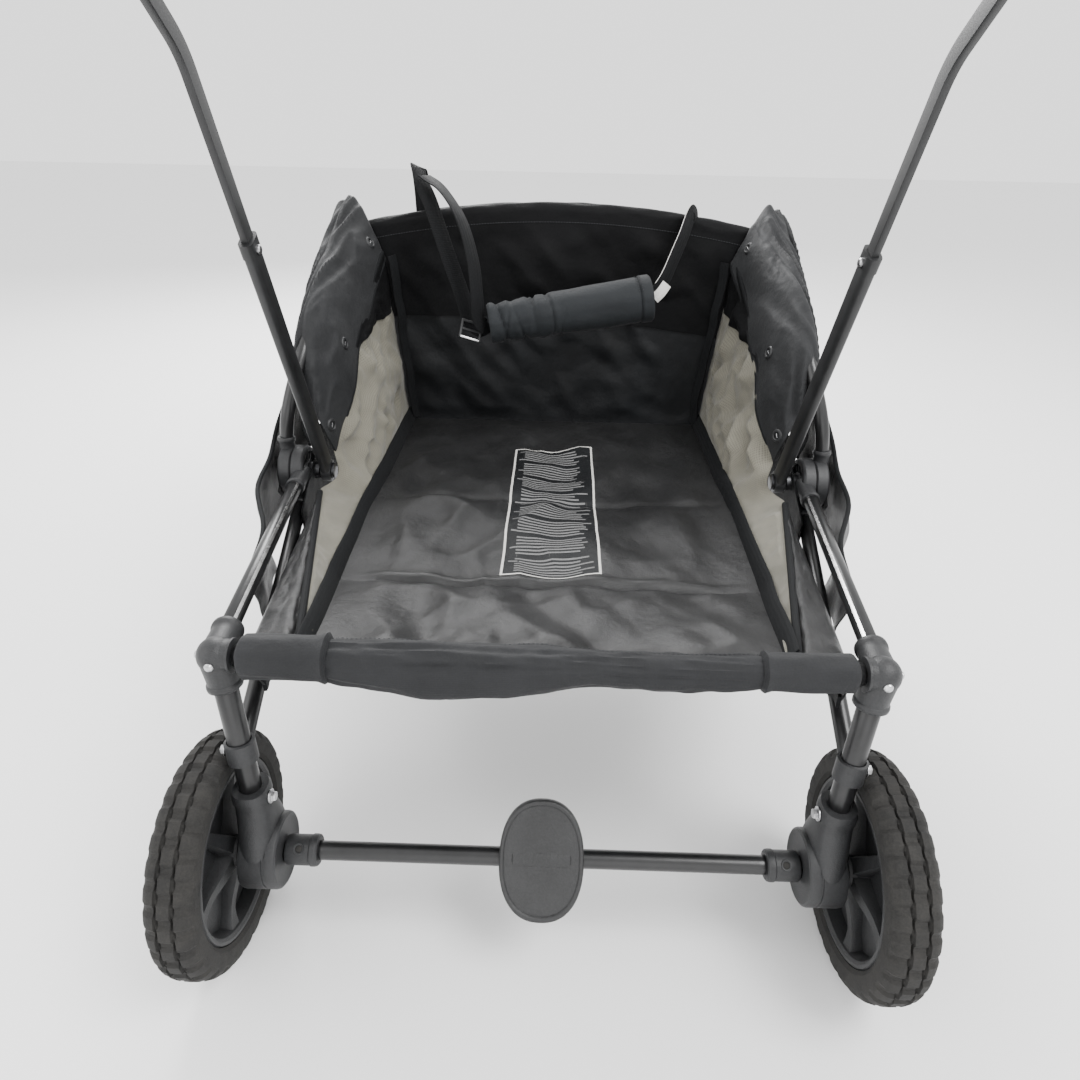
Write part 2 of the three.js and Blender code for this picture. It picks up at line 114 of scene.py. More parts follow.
def curve_point(points, share):
    """A point on the smooth curve through the points, with share from 0 to 1 along it."""
    count = len(points) - 1
    place = min(max(share, 0.0), 1.0) * count
    index = min(int(place), count - 1)
    local = place - index
    p1 = Vector(points[index])
    p2 = Vector(points[index + 1])
    p0 = Vector(points[index - 1]) if index else p1 * 2 - p2
    p3 = Vector(points[index + 2]) if index + 2 <= count else p2 * 2 - p1
    square = local * local
    cube = square * local
    bend = (p0 * 2 - p1 * 5 + p2 * 4 - p3) * square + (p1 * 3 - p0 - p2 * 3 + p3) * cube
    return (p1 * 2 + (p2 - p0) * local + bend) / 2


def curve_points(points, count):
    return [curve_point(points, i / (count - 1)) for i in range(count)]


def build(name, verts, faces, corner_uvs, mat, angle=38):
    mesh = bpy.data.meshes.new(name)
    mesh.from_pydata(verts, [], faces)
    layer = mesh.uv_layers.new(name="UVMap")
    layer.data.foreach_set("uv", [value for place in corner_uvs for value in place])
    mesh.shade_smooth()
    mesh.set_sharp_from_angle(angle=math.radians(angle))
    mesh.materials.append(mat)
    obj = bpy.data.objects.new(name, mesh)
    scene.collection.objects.link(obj)
    return obj


def skin(name, rings, mat, closed=True, caps=True, size=None, angle=38):
    """A surface through rings of points. Its UVs are in metres, so a weave keeps its real size."""
    rows = len(rings)
    cols = len(rings[0])
    span = cols if closed else cols - 1
    if size is None:
        girth = sum((rings[rows // 2][(j + 1) % cols] - rings[rows // 2][j]).length for j in range(span))
        length = sum((rings[i + 1][0] - rings[i][0]).length for i in range(rows - 1))
        size = (girth, length)
    verts = [p for ring in rings for p in ring]
    faces = []
    uvs = []
    for i in range(rows - 1):
        for j in range(span):
            k = (j + 1) % cols
            faces.append((i * cols + j, i * cols + k, (i + 1) * cols + k, (i + 1) * cols + j))
            left = j / span * size[0]
            right = (j + 1) / span * size[0]
            low = i / (rows - 1) * size[1]
            high = (i + 1) / (rows - 1) * size[1]
            uvs += [(left, low), (right, low), (right, high), (left, high)]
    if closed and caps:
        for ring, start in ((rings[0], 0), (rings[-1], (rows - 1) * cols)):
            order = range(cols - 1, -1, -1) if start == 0 else range(cols)
            face = tuple(start + j for j in order)
            middle = sum(ring, Vector()) / cols
            faces.append(face)
            uvs += [((verts[v] - middle).x + (verts[v] - middle).y, (verts[v] - middle).z) for v in face]
    return build(name, verts, faces, uvs, mat, angle)


def fabric(name, point, steps, thick, mat, size):
    """A sheet of cloth from point(s, t), with both of its faces and its cut edges."""
    across, along = steps
    grid = [[point(j / across, i / along) for j in range(across + 1)] for i in range(along + 1)]
    rings = []
    for i, row in enumerate(grid):
        upper = []
        lower = []
        for j, place in enumerate(row):
            before = row[max(j - 1, 0)]
            after = row[min(j + 1, across)]
            behind = grid[max(i - 1, 0)][j]
            ahead = grid[min(i + 1, along)][j]
            normal = (after - before).cross(ahead - behind).normalized()
            upper.append(place + normal * thick / 2)
            lower.append(place - normal * thick / 2)
        rings.append(upper + lower[::-1])
    return skin(name, rings, mat, size=(2 * size[0], size[1]), angle=60)


def frames(points):
    """The tangent and two steady side directions at each point of a path."""
    out = []
    side = None
    for i, place in enumerate(points):
        ahead = points[min(i + 1, len(points) - 1)]
        behind = points[max(i - 1, 0)]
        tangent = (ahead - behind).normalized()
        if side is None:
            guess = Vector((0, 0, 1)) if abs(tangent.z) < 0.8 else Vector((0, 1, 0))
            side = tangent.cross(guess).normalized()
        side = (side - tangent * side.dot(tangent)).normalized()
        out.append((place, tangent, side, tangent.cross(side).normalized()))
    return out


def tube(name, points, radius, mat, sides=28, edge=0.001):
    """A round bar along a path, with softened ends. The radius may be a function of the share along it."""
    size = radius if callable(radius) else (lambda share: radius)
    pieces = frames([Vector(p) for p in points])
    rings = []
    for i, (place, tangent, a, b) in enumerate(pieces):
        share = i / (len(pieces) - 1)
        full = size(share)
        if i == 0:
            rings.append(circle(place, a, b, full - edge, sides))
            place = place + tangent * edge
        if i == len(pieces) - 1:
            rings.append(circle(place - tangent * edge, a, b, full, sides))
            rings.append(circle(place, a, b, full - edge, sides))
        else:
            rings.append(circle(place, a, b, full, sides))
    return skin(name, rings, mat, angle=50)


def circle(place, a, b, radius, sides):
    turn = 2 * math.pi / sides
    return [place + (a * math.cos(k * turn) + b * math.sin(k * turn)) * radius for k in range(sides)]


def band(name, points, width, thick, mat, facing, edge=0.35):
    """Flat webbing or binding tape along a path, lying square to the facing direction."""
    rings = []
    path = frames([Vector(p) for p in points])
    for i, (place, tangent, _, _) in enumerate(path):
        out = facing(i / (len(path) - 1)) if callable(facing) else Vector(facing)
        across = tangent.cross(out).normalized()
        out = across.cross(tangent).normalized()
        half = width / 2
        section = [
            (-1, -edge), (-1, edge), (-0.94, 1), (0, 1.12), (0.94, 1), (1, edge), (1, -edge), (0.94, -1),
            (0, -1.12), (-0.94, -1)
        ]
        rings.append([place + across * half * u + out * thick / 2 * v for u, v in section])
    return skin(name, rings, mat, angle=50)


def turned(name, profile, place, mat, axis="X", segments=64, angle=32, wobble=None):
    """A turned part: profile is (distance along the axis, radius), closed on the axis or on itself."""
    rings = []
    for distance, radius in profile:
        ring = []
        for k in range(segments):
            turn = 2 * math.pi * k / segments
            r = max(radius, 1e-5)
            if wobble:
                r = wobble(distance, r, turn)
            c = r * math.cos(turn)
            s = r * math.sin(turn)
            local = (distance, c, s) if axis == "X" else (c, s, distance)
            ring.append(Vector(place) + Vector(local))
        rings.append(ring)
    closed_profile = profile[0] == profile[-1]
    return skin(name, rings, mat, caps=not closed_profile, angle=angle)


def slab(name, size, matrix, mat, radius=0.002, sides=3):
    """A block with rounded edges, its size along its own axes and its place in the matrix."""
    mesh = bmesh.new()
    bmesh.ops.create_cube(mesh, size=1.0)
    bmesh.ops.scale(mesh, vec=Vector(size), verts=mesh.verts)
    bmesh.ops.bevel(mesh, geom=mesh.edges[:], offset=radius, segments=sides, profile=0.5, affect="EDGES")
    bmesh.ops.transform(mesh, matrix=matrix, verts=mesh.verts)
    mesh.verts.index_update()
    verts = [v.co.copy() for v in mesh.verts]
    faces = [tuple(v.index for v in f.verts) for f in mesh.faces]
    uvs = [(verts[i].x + verts[i].y, verts[i].z) for face in faces for i in face]
    mesh.free()
    return build(name, verts, faces, uvs, mat, 45)


def along_axis(place, direction, up=(0, 0, 1)):
    """A matrix that stands Z along a direction, with its X as near as can be to up."""
    z = Vector(direction).normalized()
    x = (Vector(up) - z * z.dot(Vector(up))).normalized()
    y = z.cross(x)
    turn = Matrix((x, y, z)).transposed().to_4x4()
    return Matrix.Translation(Vector(place)) @ turn


# ---- Materials -----------------------------------------------------------------------------------

class Finish:
    """One procedural material: a Principled shader and the nodes that feed it."""

    def __init__(self, name, roughness, metallic=0.0, specular=0.5):
        self.mat = bpy.data.materials.new(name)
        self.mat.use_nodes = True
        self.tree = self.mat.node_tree
        self.shader = self.tree.nodes["Principled BSDF"]
        self.shader.inputs["Roughness"].default_value = roughness
        self.shader.inputs["Metallic"].default_value = metallic
        self.shader.inputs["Specular IOR Level"].default_value = specular

    def node(self, kind, values=None, **settings):
        made = self.tree.nodes.new(kind)
        for key, value in settings.items():
            setattr(made, key, value)
        for key, value in (values or {}).items():
            made.inputs[key].default_value = value
        return made

    def link(self, source, target):
        self.tree.links.new(source, target)

    def coordinates(self, kind):
        return self.node("ShaderNodeTexCoord").outputs[kind]

    def noise(self, place, scale, detail=4.0, roughness=0.6):
        made = self.node("ShaderNodeTexNoise", {"Scale": scale, "Detail": detail, "Roughness": roughness})
        self.link(place, made.inputs["Vector"])
        return made.outputs["Fac"]

    def bands(self, place, period, direction, distortion=0.0):
        made = self.node(
            "ShaderNodeTexWave", {"Scale": 0.314 / period, "Distortion": distortion, "Detail": 1.0}
        )
        made.bands_direction = direction
        self.link(place, made.inputs["Vector"])
        return made.outputs["Fac"]

    def math(self, kind, a, b):
        made = self.node("ShaderNodeMath", operation=kind)
        for index, value in enumerate((a, b)):
            if isinstance(value, (int, float)):
                made.inputs[index].default_value = value
            else:
                self.link(value, made.inputs[index])
        return made.outputs[0]

    def ramp(self, value, stops):
        made = self.node("ShaderNodeValToRGB")
        elements = made.color_ramp.elements
        while len(elements) < len(stops):
            elements.new(0.5)
        for element, (place, color) in zip(elements, stops):
            element.position = place
            element.color = (*color, 1)
        self.link(value, made.inputs["Fac"])
        return made.outputs["Color"]

    def color(self, value, dark, light, low=0.3, high=0.7):
        self.link(self.ramp(value, [(low, dark), (high, light)]), self.shader.inputs["Base Color"])

    def roughness(self, value, low, high):
        made = self.node("ShaderNodeMapRange", {"To Min": low, "To Max": high})
        self.link(value, made.inputs["Value"])
        self.link(made.outputs["Result"], self.shader.inputs["Roughness"])

    def bump(self, *layers):
        """Each layer is a height, its strength and its depth in metres."""
        before = None
        for height, strength, depth in layers:
            made = self.node("ShaderNodeBump", {"Strength": strength, "Distance": depth})
            self.link(height, made.inputs["Height"])
            if before:
                self.link(before.outputs["Normal"], made.inputs["Normal"])
            before = made
        self.link(before.outputs["Normal"], self.shader.inputs["Normal"])


def woven(name, dark, light, thread, rough_range, sheen, crinkle=0.35, shine=0.3):
    """Woven polyester: crossing threads, slubs, soft creases and uneven sheen."""
    made = Finish(name, rough_range[1], specular=shine)
    uv = made.coordinates("UV")
    place = made.coordinates("Object")
    warp = made.bands(uv, thread, "X", 0.6)
    weft = made.bands(uv, thread, "Y", 0.6)
    cloth = made.math("MAXIMUM", warp, weft)
    slubs = made.noise(place, 900.0, 2.0)
    patches = made.noise(place, 14.0, 5.0, 0.65)
    creases = made.noise(place, 38.0, 6.0, 0.55)
    shade = made.math("ADD", made.math("MULTIPLY", patches, 0.62), made.math("MULTIPLY", slubs, 0.26))
    shade = made.math("ADD", shade, made.math("MULTIPLY", cloth, 0.14))
    made.color(shade, dark, light, 0.30, 0.74)
    made.roughness(patches, *rough_range)
    made.shader.inputs["Sheen Weight"].default_value = sheen
    made.shader.inputs["Sheen Roughness"].default_value = 0.45
    made.bump((creases, crinkle, 0.006), (cloth, 0.35, 0.0004), (slubs, 0.2, 0.0003))
    return made.mat


def ribbed_net():
    """Knitted side netting: fine upright ribs with rows of small dark holes."""
    made = Finish("ribbed_net", 0.75, specular=0.3)
    uv = made.coordinates("UV")
    place = made.coordinates("Object")
    ribs = made.bands(uv, 0.0030, "X", 0.3)
    rungs = made.bands(uv, 0.0024, "Y", 0.3)
    holes = made.math("MULTIPLY", ribs, rungs)
    patches = made.noise(place, 22.0, 4.0)
    fibres = made.noise(place, 1100.0, 2.0)
    shade = made.math("ADD", made.math("MULTIPLY", patches, 0.5), made.math("MULTIPLY", fibres, 0.2))
    shade = made.math("SUBTRACT", made.math("ADD", shade, 0.28), made.math("MULTIPLY", holes, 0.34))
    made.link(
        made.ramp(
            shade,
            [(0.05, (0.034, 0.032, 0.025)), (0.38, (0.112, 0.106, 0.084)), (0.8, (0.198, 0.188, 0.150))]
        ),
        made.shader.inputs["Base Color"],
    )
    made.shader.inputs["Sheen Weight"].default_value = 0.2
    made.bump((patches, 0.25, 0.004), (ribs, 0.55, 0.0005), (rungs, 0.3, 0.0003))
    return made.mat


def webbing_finish(name, dark, light):
    """Tight woven tape: a rib every 1.6 mm with chevron threads across it."""
    made = Finish(name, 0.74, specular=0.12)
    uv = made.coordinates("UV")
    place = made.coordinates("Object")
    ribs = made.bands(uv, 0.0016, "Y", 1.2)
    cords = made.bands(uv, 0.0024, "X", 0.5)
    fibres = made.noise(place, 700.0, 3.0)
    shade = made.math("ADD", made.math("MULTIPLY", ribs, 0.35), made.math("MULTIPLY", fibres, 0.6))
    made.color(shade, dark, light, 0.25, 0.8)
    made.shader.inputs["Sheen Weight"].default_value = 0.02
    made.bump((made.math("ADD", ribs, cords), 0.5, 0.0004), (fibres, 0.25, 0.0003))
    return made.mat


def coated_metal(name, dark, light, rough_range, metallic=0.0):
    """Powder coat over steel tube: fine orange peel, dust and rubbed patches."""
    made = Finish(name, rough_range[0], metallic, specular=0.5)
    place = made.coordinates("Object")
    peel = made.noise(place, 620.0, 3.0)
    wear = made.noise(place, 26.0, 8.0, 0.7)
    scuffs = made.noise(place, 150.0, 6.0, 0.8)
    made.color(
        made.math("ADD", made.math("MULTIPLY", wear, 0.6), made.math("MULTIPLY", scuffs, 0.4)), dark, light,
        0.38, 0.72
    )
    made.roughness(
        made.math("ADD", made.math("MULTIPLY", wear, 0.5), made.math("MULTIPLY", scuffs, 0.5)), *rough_range
    )
    made.bump((peel, 0.3, 0.0003), (scuffs, 0.1, 0.0003))
    return made.mat


def moulded(name, dark, light, grain, rough_range, depth=0.0004):
    """Moulded plastic with a spark-eroded grain, faint flow marks and handling wear."""
    made = Finish(name, rough_range[0], specular=0.45)
    place = made.coordinates("Object")
    cells = made.node("ShaderNodeTexVoronoi", {"Scale": grain})
    made.link(place, cells.inputs["Vector"])
    flow = made.noise(place, 20.0, 6.0, 0.65)
    specks = made.noise(place, 420.0, 4.0, 0.7)
    made.color(
        made.math("ADD", made.math("MULTIPLY", flow, 0.55), made.math("MULTIPLY", specks, 0.45)), dark,
        light, 0.36, 0.70
    )
    made.roughness(flow, *rough_range)
    made.bump((cells.outputs["Distance"], 0.45, depth), (specks, 0.25, 0.0003))
    return made.mat


def rubber():
    made = Finish("tyre_rubber", 0.8, specular=0.3)
    place = made.coordinates("Object")
    dust = made.noise(place, 34.0, 8.0, 0.7)
    pores = made.noise(place, 500.0, 4.0, 0.7)
    made.color(
        made.math("ADD", made.math("MULTIPLY", dust, 0.6), made.math("MULTIPLY", pores, 0.4)),
        (0.0060, 0.0060, 0.0060), (0.0360, 0.0340, 0.0310), 0.34, 0.78
    )
    made.roughness(dust, 0.7, 0.92)
    made.bump((pores, 0.4, 0.0006), (dust, 0.2, 0.001))
    return made.mat


def steel(name, dark, light, rough_range):
    made = Finish(name, rough_range[0], 1.0)
    place = made.coordinates("Object")
    stains = made.noise(place, 60.0, 6.0, 0.7)
    lines = made.noise(place, 900.0, 2.0)
    made.color(stains, dark, light, 0.35, 0.7)
    made.roughness(stains, *rough_range)
    made.bump((lines, 0.15, 0.0002))
    return made.mat


BLACK_CANVAS = woven(
    "black_canvas", (0.0030, 0.0030, 0.0033), (0.0180, 0.0182, 0.0186), 0.0011, (0.30, 0.54), 0.02,
    shine=0.34
)
WALL_CANVAS = woven(
    "wall_canvas", (0.0024, 0.0026, 0.0030), (0.0100, 0.0110, 0.0125), 0.0011, (0.40, 0.64), 0.02,
    shine=0.22
)
YOKE_CANVAS = woven(
    "yoke_canvas", (0.0010, 0.0010, 0.0012), (0.0040, 0.0042, 0.0047), 0.0011, (0.55, 0.8), 0.01, shine=0.12
)
CHARCOAL = woven(
    "charcoal_canvas", (0.0060, 0.0063, 0.0070), (0.0200, 0.0206, 0.0222), 0.0013, (0.52, 0.78), 0.04,
    crinkle=0.5, shine=0.2
)
SLEEVE_CLOTH = woven(
    "sleeve_canvas", (0.0065, 0.0069, 0.0075), (0.0255, 0.0262, 0.0276), 0.0012, (0.54, 0.78), 0.04,
    crinkle=0.45, shine=0.2
)
PAD_CLOTH = woven(
    "pad_canvas", (0.0058, 0.0068, 0.0079), (0.0160, 0.0182, 0.0205), 0.0012, (0.54, 0.80), 0.04, shine=0.2
)
NET = ribbed_net()
TAPE = webbing_finish("binding_tape", (0.0030, 0.0033, 0.0036), (0.0130, 0.0138, 0.0150))
WEBBING = webbing_finish("black_webbing", (0.0014, 0.0015, 0.0017), (0.0075, 0.0080, 0.0090))
# Pale tape for the strap tag and the label border; also used for the painted highlight line along the right
# webbing's edge.
PALE_TAPE_AND_HIGHLIGHT = webbing_finish("pale_tape_and_highlight", (0.42, 0.41, 0.39), (0.76, 0.75, 0.72))
TUBE_COAT = coated_metal("powder_coat", (0.0030, 0.0030, 0.0033), (0.0110, 0.0112, 0.0118), (0.22, 0.42))
ARM_COAT = coated_metal("arm_coat", (0.0040, 0.0042, 0.0046), (0.0150, 0.0155, 0.0165), (0.36, 0.58))
PLASTIC = moulded("black_plastic", (0.0070, 0.0073, 0.0080), (0.0235, 0.0242, 0.0256), 900.0, (0.40, 0.60))
PEDAL_PLASTIC = moulded(
    "pedal_plastic", (0.0075, 0.0077, 0.0080), (0.0240, 0.0243, 0.0249), 520.0, (0.40, 0.62), 0.0006
)
FOAM = moulded("grip_foam", (0.0060, 0.0060, 0.0065), (0.0230, 0.0230, 0.0240), 420.0, (0.75, 0.92), 0.0009)
RUBBER = rubber()
STEEL = steel("zinc_steel", (0.35, 0.35, 0.36), (0.70, 0.70, 0.70), (0.22, 0.42))
DARK_STEEL = steel("blackened_steel", (0.030, 0.030, 0.032), (0.095, 0.096, 0.100), (0.30, 0.50))
# Bright metal for the strips that stand in for the rear side rails' highlight line: a painted highlight.
RAIL_HIGHLIGHT_METAL = steel("rail_highlight_metal", (0.55, 0.55, 0.55), (0.85, 0.85, 0.84), (0.18, 0.36))


# ---- Camera, lights and floor --------------------------------------------------------------------

def camera_and_lights():
    data = bpy.data.cameras.new("camera")
    data.sensor_width = 36.0
    data.lens = 24.53
    camera = bpy.data.objects.new("camera", data)
    scene.collection.objects.link(camera)
    yaw = Matrix.Rotation(math.radians(0.93), 4, "Z")
    pitch = Matrix.Rotation(math.radians(90 - 31.17), 4, "X")
    roll = Matrix.Rotation(math.radians(1.1), 4, "Z")
    camera.matrix_world = Matrix.Translation((0, -0.813, 0.790)) @ yaw @ pitch @ roll
    scene.camera = camera

    world = bpy.data.worlds.new("studio")
    world.use_nodes = True
    world.node_tree.nodes["Background"].inputs["Color"].default_value = (1.0, 1.0, 1.0, 1)
    world.node_tree.nodes["Background"].inputs["Strength"].default_value = 1.80
    scene.world = world
    lamps = (
        ("key", (1.5, -0.9, 2.7), (0, 0, 0.3), 1.3, 86),
        ("fill", (-2.2, -1.2, 1.7), (0, 0, 0.3), 2.2, 34),
        ("back", (-0.6, 2.2, 1.9), (0, 0, 0.3), 1.4, 118),
        ("low", (0.2, -2.6, 0.7), (0, -0.3, 0.2), 1.8, 12),
    )
    for name, place, aim, size, power in lamps:
        light = bpy.data.lights.new(name, "AREA")
        light.size = size
        light.energy = power
        lamp = bpy.data.objects.new(name, light)
        scene.collection.objects.link(lamp)
        lamp.matrix_world = Matrix.Translation(place) @ (
            Vector(aim) - Vector(place)
        ).to_track_quat("-Z", "Y").to_matrix().to_4x4()

    made = Finish("studio_floor", 0.9)
    made.shader.inputs["Base Color"].default_value = (0.86, 0.86, 0.86, 1)
    mesh = bpy.data.meshes.new("studio_floor")
    mesh.from_pydata([(-9, -9, 0), (9, -9, 0), (9, 9, 0), (-9, 9, 0)], [], [(0, 1, 2, 3)])
    mesh.materials.append(made.mat)
    floor = bpy.data.objects.new("studio_floor", mesh)
    scene.collection.objects.link(floor)


# ---- The tub's fabric ----------------------------------------------------------------------------

def floor_height(y):
    """The height of the floor's top: level, then rising over the entry fold to the rear rail."""
    share = ease(y, ENTRY_FOLD_Y + 0.02, RAMP_END.y)
    rise = max(0.0, (ENTRY_FOLD_Y - y) / (ENTRY_FOLD_Y - RAMP_END.y))
    return FLOOR_Z + (RAMP_END.z - FLOOR_Z) * (0.75 * rise + 0.25 * share)


def floor_half(y):
    rise = max(0.0, (ENTRY_FOLD_Y - y) / (ENTRY_FOLD_Y - RAMP_END.y))
    return mix(FLOOR_HALF, RAMP_END.x, rise)


def floor_point(s, t):
    y = mix(RAMP_END.y, WALL_Y - 0.004, t)
    x = mix(-1, 1, s) * floor_half(y)
    margin = min(ease(s, 0, 0.16), ease(1 - s, 0, 0.16), ease(t, 0, 0.05), ease(1 - t, 0, 0.1))
    soft = rough((x, y * 1.1, 0), 7.0, 3.1) * 0.0090 + rough((x + y, x - y, 0), 13.0, 8.2) * 0.0060
    for lean, size, deep, seed in (
        (0.9, 8.0, 0.019, 5.5), (-0.7, 10.0, 0.014, 15.5), (0.2, 17.0, 0.007, 25.5)
    ):
        line = abs(rough((x * 1.2 + y * lean, y * 0.55 - x * lean * 0.5, 0), size, seed))
        soft += (0.22 - min(line, 0.45)) * deep
    on_ramp = 1 - ease(y, ENTRY_FOLD_Y - 0.03, ENTRY_FOLD_Y + 0.03)
    soft += on_ramp * rough((x * 2.2 + y, y * 0.8, 0), 9.0, 12.0) * 0.010
    soft -= 0.0035 * math.exp(-((y - FOLD.y) / 0.007) ** 2)
    ridge = ENTRY_FOLD_Y + 0.004 * rough((x, 0, 0), 6.0, 33.0)
    fold = 0.0040 * math.exp(
        -((y - ridge - 0.009) / 0.007) ** 2
    ) - 0.0045 * math.exp(-((y - ridge) / 0.004) ** 2)
    return Vector((x, y, floor_height(y) - 0.002 + soft * margin + fold * margin))


def across_fold(piece):
    """Fabric that crosses the fold joint: its transform is baked into its mesh, and it is left unparented, on
    neither half of the frame.
    """
    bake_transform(piece)


def tub_floor():
    length = WALL_Y - RAMP_END.y
    sheet = fabric(
        "tub_floor", floor_point, (110, 150), 0.0025, BLACK_CANVAS, (2 * FLOOR_HALF, length)
    )
    across_fold(sheet)
    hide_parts("tub_floor_rear", "tub_floor_front")


def sleeve_hem(y):
    """The rail sleeve's inner hem at one place along the wagon, on the right side."""
    for low, high in zip(SLEEVE_INNER, SLEEVE_INNER[1:]):
        if y <= high[1]:
            share = min(1.0, max(0.0, (y - low[1]) / (high[1] - low[1])))
            return Vector(low).lerp(Vector(high), share)
    return Vector(SLEEVE_INNER[-1])


def side_edges(side, t):
    """The lower and the upper edge of a side net at share t from the rear to the front."""
    rear = RAMP_END.y + 0.004
    y = mix(rear, WALL_Y - 0.005, t)
    low = Vector((floor_half(y) + 0.001, y, floor_height(y) + 0.001))
    hub_y = FOLD.y - 0.038
    behind = min(1.0, max(0.0, (y - rear) / (hub_y - rear)))
    high_rear = Vector((mix(0.236, 0.312, behind), y, mix(0.343, 0.331, behind)))
    hem = sleeve_hem(y)
    high_front = Vector((hem.x + 0.005, y, hem.z + 0.010))
    rise = ease(y, FOLD.y - 0.030, FOLD.y + 0.034)
    high = high_rear.lerp(high_front, rise)
    dip = math.exp(-((y - FOLD.y) / 0.022) ** 2)
    high.x -= 0.015 * dip
    high.z -= 0.008 * dip
    return side_x(side, low), side_x(side, high)


def net_sides():
    points = {}
    for name, side in SIDES:
        def point(s, t, side=side):
            low, high = side_edges(side, t)
            place = low.lerp(high, s)
            belly = ease(s, 0.04, 0.30) * (1 - ease(s, 0.86, 1.0)) * (1 - 0.85 * ease(t, 0.93, 0.995))
            fold = math.exp(-((place.y - FOLD.y - 0.02) / 0.05) ** 2)
            seed = 20.0 + side * 3
            soft = rough((place.y * 0.7, place.z * 1.6, side), 13.0, seed) * 0.012
            soft += rough((place.y + place.z * 1.5, place.z - place.y, side), 24.0, seed + 4) * 0.006
            sharp = 0.25 - abs(rough((place.y * 1.3 - place.z, place.z * 0.9, side), 17.0, seed + 9))
            kink = 0.25 - abs(
                rough((place.y * 2.2 + place.z, place.z * 1.5 - place.y, side), 15.0, seed + 15)
            )
            soft += sharp * 0.020 + kink * 0.012 + fold * sharp * 0.020
            place.x -= side * (
                max(-0.010, soft) * belly * min(1.0, (high - low).length / 0.12) + 0.004 * belly
            )
            place.z += rough(place, 30.0, seed) * 0.003 * belly
            return place
        points[name] = point
        sheet = fabric(f"net_side_{name}", point, (44, 170), 0.0016, NET, (0.19, 0.68))
        across_fold(sheet)
        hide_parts(f"tub_side_rear_{name}", f"tub_side_front_{name}")
        area = net_area(side)

        def tape_path(height, t):
            low, high = side_edges(side, t)
            return low + (high - low).normalized() * height
        steps = [i / 90 for i in range(91)]
        lower = [
            tape_path(
                0.007 + 0.002 * rough((t * 9, side, 0), 1.0, 4.0), t
            ) - Vector((side * 0.0058, 0, -0.0014))
            for t in steps
        ]
        tape = band(
            f"floor_binding_{name}", lower, 0.023, 0.0022, TAPE,
            lambda share: (-side * 0.9, 0, 0.45)
        )
        across_fold(tape)
        rear_edge = [t for t in steps if side_edges(side, t)[1].y < FOLD.y - 0.045]
        upper = [side_edges(side, t)[1] + Vector((-side * 0.001, 0, 0.001)) for t in rear_edge]
        top = tube(f"rear_edge_binding_{name}", upper, 0.0042, TAPE, 12)
        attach(top, "rear_frame")
        upper = [side_edges(side, t)[1] for t in steps if side_edges(side, t)[1].y > FOLD.y + 0.045]
        top = tube(f"front_edge_binding_{name}", upper, 0.0036, TAPE, 12)
        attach(top, "front_frame")
    net_yokes(points)


def net_yokes(points):
    """The black gusset over each net's top front corner."""
    for name, side in SIDES:
        def point(s, t, side=side):
            along = mix(0.70, 1.0, t)
            start = mix(1.0, 0.74, ease(t, 0.0, 1.0)) + 0.02 * rough((t * 5, side, 0), 1.0, 28.0)
            return points[name](mix(start, 1.0, s), along) + Vector((-side * 0.0024, 0, 0))
        yoke = fabric(f"net_yoke_{name}", point, (24, 60), 0.0018, YOKE_CANVAS, (0.08, 0.20))
        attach(yoke, "front_frame")


OUTER_PANEL_X = (
    (0.331, -0.135), (0.344, -0.06), (0.3775, 0.02), (0.3810, 0.085), (0.3800, 0.13), (0.3640, 0.18),
    (0.3560, 0.235)
)
OUTER_PANEL_TOP = (0.336, 0.341, 0.352, 0.366, 0.396, 0.448, 0.492)
OUTER_PANEL_LOW = (0.262, 0.258, 0.256, 0.262, 0.282, 0.330, 0.392)


def outer_panels():
    """The fabric outside each fold hub, from the rail sleeve back to the skirt."""
    for name, side in SIDES:
        def point(s, t, side=side):
            plan = curve_point([(x, y, 0) for x, y in OUTER_PANEL_X], t)
            top = curve_point([(0, 0, z) for z in OUTER_PANEL_TOP], t).z
            low = curve_point([(0, 0, z) for z in OUTER_PANEL_LOW], t).z
            soft = rough((plan.y * 1.2, s * 0.12, side), 22.0, 140.0 + side) * 0.0045 * ease(s, 0.0, 0.3)
            soft += math.sin(plan.y * 60 + side) * 0.0030 * s
            return Vector(
                (side * (plan.x + 0.004 * math.sin(math.pi * s) + soft), plan.y, mix(top, low, s))
            )
        panel = fabric(f"outer_panel_{name}", point, (34, 90), 0.0020, BLACK_CANVAS, (0.11, 0.38))
        across_fold(panel)
        hem = tube(
            f"outer_panel_edge_{name}", [point(0, i / 60) for i in range(61)], 0.0030, TAPE, 12
        )
        across_fold(hem)


GUSSET_TOP = (
    (0.322, 0.012, 0.324), (0.325, 0.055, 0.338), (0.326, 0.100, 0.358), (0.324, 0.130, 0.386),
    (0.319, 0.160, 0.424), (0.313, 0.200, 0.462)
)
GUSSET_LOW = (
    (0.322, 0.012, 0.262), (0.326, 0.055, 0.258), (0.328, 0.100, 0.258), (0.326, 0.130, 0.266),
    (0.322, 0.160, 0.288), (0.316, 0.200, 0.326)
)


def hub_gussets():
    """The black cloth between each side net and its fold hub."""
    for name, side in SIDES:
        def point(s, t, side=side):
            place = curve_point(GUSSET_TOP, t).lerp(curve_point(GUSSET_LOW, t), s)
            place.x += 0.0016 * abs(rough((place.y * 1.4, s * 0.1, side), 20.0, 160.0 + side))
            return side_x(side, place)
        gusset = fabric(f"hub_gusset_{name}", point, (30, 60), 0.0018, YOKE_CANVAS, (0.105, 0.19))
        across_fold(gusset)


def net_area(side):
    area = 0.0
    for i in range(60):
        low, high = side_edges(side, i / 60)
        low_next, high_next = side_edges(side, (i + 1) / 60)
        area += ((high - low).length + (high_next - low_next).length) / 2 * abs(low_next.y - low.y)
    return area * 1.02


